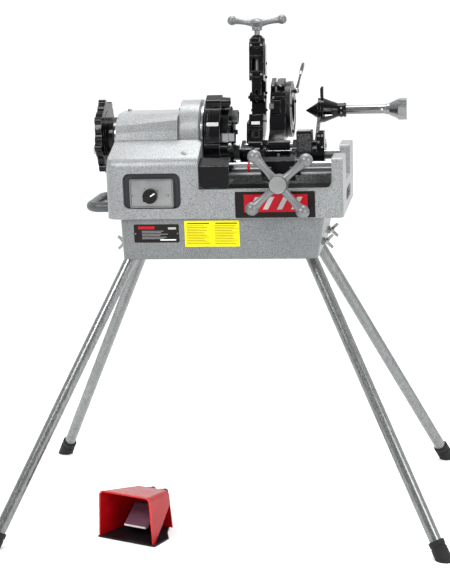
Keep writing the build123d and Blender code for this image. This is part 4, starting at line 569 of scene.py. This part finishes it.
def die_head_details():
    centre = HINGE + Vector((0, math.cos(DIE_ANGLE), math.sin(DIE_ANGLE))) * HINGE_REACH
    for i, (x, wide) in enumerate(((116, 9), (138.5, 19))):
        place = rim_place(x, centre, 91, 112)
        slab(f"die_block_cap_{i + 1}", place, wide, 40, 1.2, "die_head", "mottled", 2)
        for k, angle in enumerate((97, 127)):
            place = rim_place(x, centre, 90.6, angle)
            screw(f"die_block_screw_{i + 1}_{k + 1}", place, 3.4, 3.5, "die_head", "machined")
    for i, angle in enumerate((150, 190, 205, 222)):
        place = rim_place(132, centre, 80.6, angle)
        slab(f"die_rim_pad_{i + 1}", place, 40, 9, 2.2, "die_head", "black_paint", 2)
        screw(f"die_rim_screw_{i + 1}", rim_place(118, centre, 82.6, angle), 3.2, 2.6, "die_head",
              "machined")
    band("cam_ring_edge", 166.9, 0.9, 78.5, 82.2, centre.y, centre.z, "die_cam", "machined")
    for i in range(13):
        a = math.radians(120 + i * 7)
        out = Vector((0, math.cos(a), math.sin(a)))
        place = steep_place(Vector((166.9, 0, 0)) + centre + out * 73.5, (1, 0, 0), out)
        length = 8 if i % 3 == 0 else 5
        slab(f"cam_scale_{i + 1}", place, length, 1, 0.35, "die_cam", "label_white", 0.3)
    for i, angle in enumerate((15, 165, 255)):
        a = math.radians(angle)
        out = Vector((0, math.cos(a), math.sin(a)))
        place = steep_place(Vector((167, 0, 0)) + centre + out * 66, (1, 0, 0), (0, 1, 0))
        screw(f"cam_screw_{i + 1}", place, 5, 4, "die_cam")


def carriage_details():
    """Cast face, nameplate ribs and screws on the stop blocks and the apron."""
    face = steep_place((219, 102, 1037), (0, -1, 0), (1, 0, 0))
    slab("stop_face", face, 40, 54, 0.8, "carriage", "mottled", 5)
    for i, (x, z) in enumerate(((260, 1058), (270, 1058), (260, 1040), (270, 1026))):
        place = steep_place((x, 102, z), (0, -1, 0), (1, 0, 0))
        screw(f"stop_screw_{i + 1}", place, 3.6, 4, "carriage", "machined")
    for i, (x, wide) in enumerate(((60, 20), (86, 16))):
        place = steep_place((x, 84, 1024.2), (0, -0.53, 0.85), (1, 0, 0))
        slab(f"hinge_block_rib_{i + 1}", place, wide, 8, 2.4, "carriage", "black_paint", 2)
    for i, x in enumerate((136, 150, 208, 222)):
        place = steep_place((x, -149, 1003), (0, -1, 0), (1, 0, 0))
        screw(f"apron_screw_{i + 1}", place, 4.4, 5, "carriage", "machined")


def web_details():
    """Slotted block, knurled lock knob and screws on the web behind the die head."""
    block = steep_place((164, 94, 995), (0, -1, 0), (1, 0, 0))
    slab("web_block", block, 26, 19, 7, "carriage", "black_paint", 3)
    slot = steep_place((164, 87, 995), (0, -1, 0), (1, 0, 0))
    slab("web_block_slot", slot, 6, 12, 0.5, "carriage", "machined", 2.5)
    outline = []
    for i in range(36):
        a = math.pi * i / 18
        reach = (12.5 if i % 2 else 11.0) * MM
        outline.append((reach * math.cos(a), reach * math.sin(a)))
    knob = steep_place((188, 94, 1005), (0, -1, 0), (1, 0, 0))
    mesh = prism(outline, 11 * MM, 1.2 * MM)
    finish_piece("lock_knob", mesh, "carriage", "black_oxide", knob)
    screw("lock_knob_screw", steep_place((188, 83, 1005), (0, -1, 0), (1, 0, 0)), 5, 3, "carriage",
          "machined")
    for i, x in enumerate((146, 206)):
        place = steep_place((x, 94, 1006), (0, -1, 0), (1, 0, 0))
        screw(f"web_screw_{i + 1}", place, 4.4, 5, "carriage", "machined")


def reamer_details():
    latch = steep_place((254, 306, 1161), (0, -1, 0), (1, 0, 0))
    slab("latch_grip", latch, 9, 32, 5, "reamer_arm", "black_paint", 4.4)
    centre = HINGE + Vector((0, math.cos(REAMER_ANGLE), math.sin(REAMER_ANGLE))) * HINGE_REACH
    band("reamer_collar_ring", 318, 4, 20, 21.6, centre.y, centre.z, "reamer_arm",
         "black_paint")
    band("reamer_stop_ring", 438, 5, 13.3, 15.2, centre.y, centre.z, "reamer", "machined")
    for i, angle in enumerate((160, 200, 250)):
        screw(f"reamer_collar_screw_{i + 1}", rim_place(311, centre, 19.6, angle), 3.4, 2.8, "reamer_arm",
              "machined")


def wheel_details():
    """Machined rim and centre on the feed handwheel's hub."""
    place = steep_place((183, -262, 973), (0, -1, 0), (1, 0, 0))
    profile = [(0, 0.3), (23.4, 0.3), (23.4, 1.3), (22.6, 2.2), (20.6, 2.2), (19.8, 1.4), (0, 1.4)]
    points = [(r * MM, h * MM) for r, h in profile]
    finish_piece("wheel_hub_face", lathe(points, 48), "handwheel", "machined", place)
    band_place = steep_place((183, -262, 973), (0, -1, 0), (1, 0, 0))
    profile = [(23.5, 0.2), (24.8, 0.2), (24.8, 1.2), (23.5, 1.2), (23.5, 0.2)]
    mesh = lathe([(r * MM, h * MM) for r, h in profile], 48)
    bmesh.ops.remove_doubles(mesh, verts=mesh.verts, dist=1e-6)
    finish_piece("wheel_hub_ring", mesh, "handwheel", "black_oxide", band_place)


# ---- foot switch --------------------------------------------------------
MOUTH = Vector((-252.7, -342.5, 0))
PEDAL_TURN = math.radians(-22)
ACROSS = Vector((math.cos(PEDAL_TURN), math.sin(PEDAL_TURN), 0))
INTO = Vector((-math.sin(PEDAL_TURN), math.cos(PEDAL_TURN), 0))


def pedal_point(side, depth, z):
    return MOUTH + ACROSS * side + INTO * depth + Vector((0, 0, z))


def tube(path, radius, steps=10):
    """Round bead along an open path of points, with closed ends."""
    mesh = bmesh.new()
    rings = []
    for i, point in enumerate(path):
        before, after = path[max(i - 1, 0)], path[min(i + 1, len(path) - 1)]
        way = (after - before).normalized()
        side = way.cross(INTO).normalized()
        lift = way.cross(side)
        rings.append([
            mesh.verts.new((point + (side * math.cos(a) + lift * math.sin(a)) * radius) * MM)
            for a in (2 * math.pi * k / steps for k in range(steps))
        ])
    for low, high in zip(rings, rings[1:]):
        for k in range(steps):
            j = (k + 1) % steps
            mesh.faces.new((low[k], low[j], high[j], high[k]))
    mesh.faces.new(rings[0])
    mesh.faces.new(rings[-1])
    bmesh.ops.recalc_face_normals(mesh, faces=mesh.faces)
    return mesh


def foot_switch_details():
    """Bead along the mouth's edge, ribs and a lip strip on the pedal."""
    low, top, high, corner = 89.0, 83.0, 137.0, 14.0
    path = [pedal_point(-low + 1.5, 0, 6)]
    for sign in (-1, 1):
        angles = range(0, 91, 15)
        for step in (angles if sign < 0 else reversed(angles)):
            a = math.radians(step)
            side = sign * (top - corner - 1.2 + corner * math.cos(a))
            path.append(pedal_point(side, 0, high - corner - 1.2 + corner * math.sin(a)))
    path.append(pedal_point(low - 1.5, 0, 6))
    # The rim bead is drawn in the lighter red: a painted highlight along the mouth's edge.
    finish_piece("mouth_bead", tube(path, 2.6), "foot_switch", "rim_red_painted_highlight", None, smooth=True)
    slope = (INTO * 58 + Vector((0, 0, 43))).normalized()
    out = ACROSS.cross(slope)
    start = pedal_point(0, 46, 33)
    for i in range(11):
        place = steep_place(start + slope * (8 + i * 5.6), out, ACROSS)
        slab(f"pedal_rib_{i + 1}", place, 62, 2.4, 1.1, "foot_pedal", "pedal_plastic", 0.8)
    lip = steep_place(pedal_point(0, 44.6, 30), -INTO, ACROSS)
    slab("pedal_lip", lip, 70, 5, 1.4, "foot_pedal", "label_white", 1)


# ---- studio -------------------------------------------------------------
SURROUND = 1.3          # strength of the bright side of the surround
DIM = 0.36              # its front side, as a share of the bright side
FLOOR_HALF = 90.0
LIGHTS = (
    ("key", (-1.8, -3.2, 3.6), (1.4, 1.4), 125),
    ("fill", (2.8, -2.6, 2.0), (1.6, 1.4), 60),
    ("top", (0.2, 0.6, 3.8), (2.0, 1.2), 80),
)


def setup_world():
    world = bpy.data.worlds.new("studio")
    bpy.context.scene.world = world
    world.use_nodes = True
    tree = world.node_tree
    background = tree.nodes["Background"]
    background.inputs["Strength"].default_value = SURROUND
    way = tree.nodes.new("ShaderNodeTexCoord")
    parts = tree.nodes.new("ShaderNodeSeparateXYZ")
    tree.links.new(way.outputs["Generated"], parts.inputs["Vector"])
    depth = add(tree, "ShaderNodeMapRange", **{"From Min": -1.0, "From Max": 1.0})
    tree.links.new(parts.outputs["Y"], depth.inputs["Value"])
    shade = ramp(tree, depth.outputs["Result"], ((0.3, DIM), (0.56, 1.0)))
    tree.links.new(shade, background.inputs["Color"])


def area_light(name, place, target, size, power):
    data = bpy.data.lights.new(name, "AREA")
    data.shape = "RECTANGLE"
    data.size, data.size_y = size
    data.energy = power
    light = bpy.data.objects.new(name, data)
    aim = (Vector(target) - Vector(place)).to_track_quat("-Z", "Y")
    light.matrix_world = Matrix.Translation(place) @ aim.to_matrix().to_4x4()
    bpy.context.scene.collection.objects.link(light)


def make_floor_material():
    material, tree, shader = new_material("floor")
    place = coordinates(tree)
    soft = noise(tree, place, 4.0)
    tree.links.new(ramp(tree, soft, ((0.3, 0.965), (0.7, 0.975))), shader.inputs["Base Color"])
    shader.inputs["Roughness"].default_value = 0.85
    shader.inputs["Specular IOR Level"].default_value = 0.1
    shader.inputs["Emission Color"].default_value = (1, 1, 1, 1)
    shader.inputs["Emission Strength"].default_value = 0.14
    return material


def make_studio():
    """Pale floor that fills the view, a surround that dims towards the front and three soft lights."""
    mesh = bmesh.new()
    corners = [
        mesh.verts.new((sx * FLOOR_HALF, sy * FLOOR_HALF, 0))
        for sx, sy in ((-1, -1), (1, -1), (1, 1), (-1, 1))
    ]
    mesh.faces.new(corners)
    data = bpy.data.meshes.new("floor")
    mesh.to_mesh(data)
    mesh.free()
    data.materials.append(make_floor_material())
    floor = bpy.data.objects.new("floor", data)
    bpy.context.scene.collection.objects.link(floor)
    setup_world()
    for name, place, size, power in LIGHTS:
        area_light(name, place, (0, 0, 1.0), size, power)
    bpy.context.scene.view_settings.view_transform = "Standard"


make_camera()
dress_frame()
front_plate()
data_plate()
yellow_label()
switch_details()
headstock_details()
cutter_details()
die_head_details()
carriage_details()
web_details()
reamer_details()
wheel_details()
foot_switch_details()
make_studio()
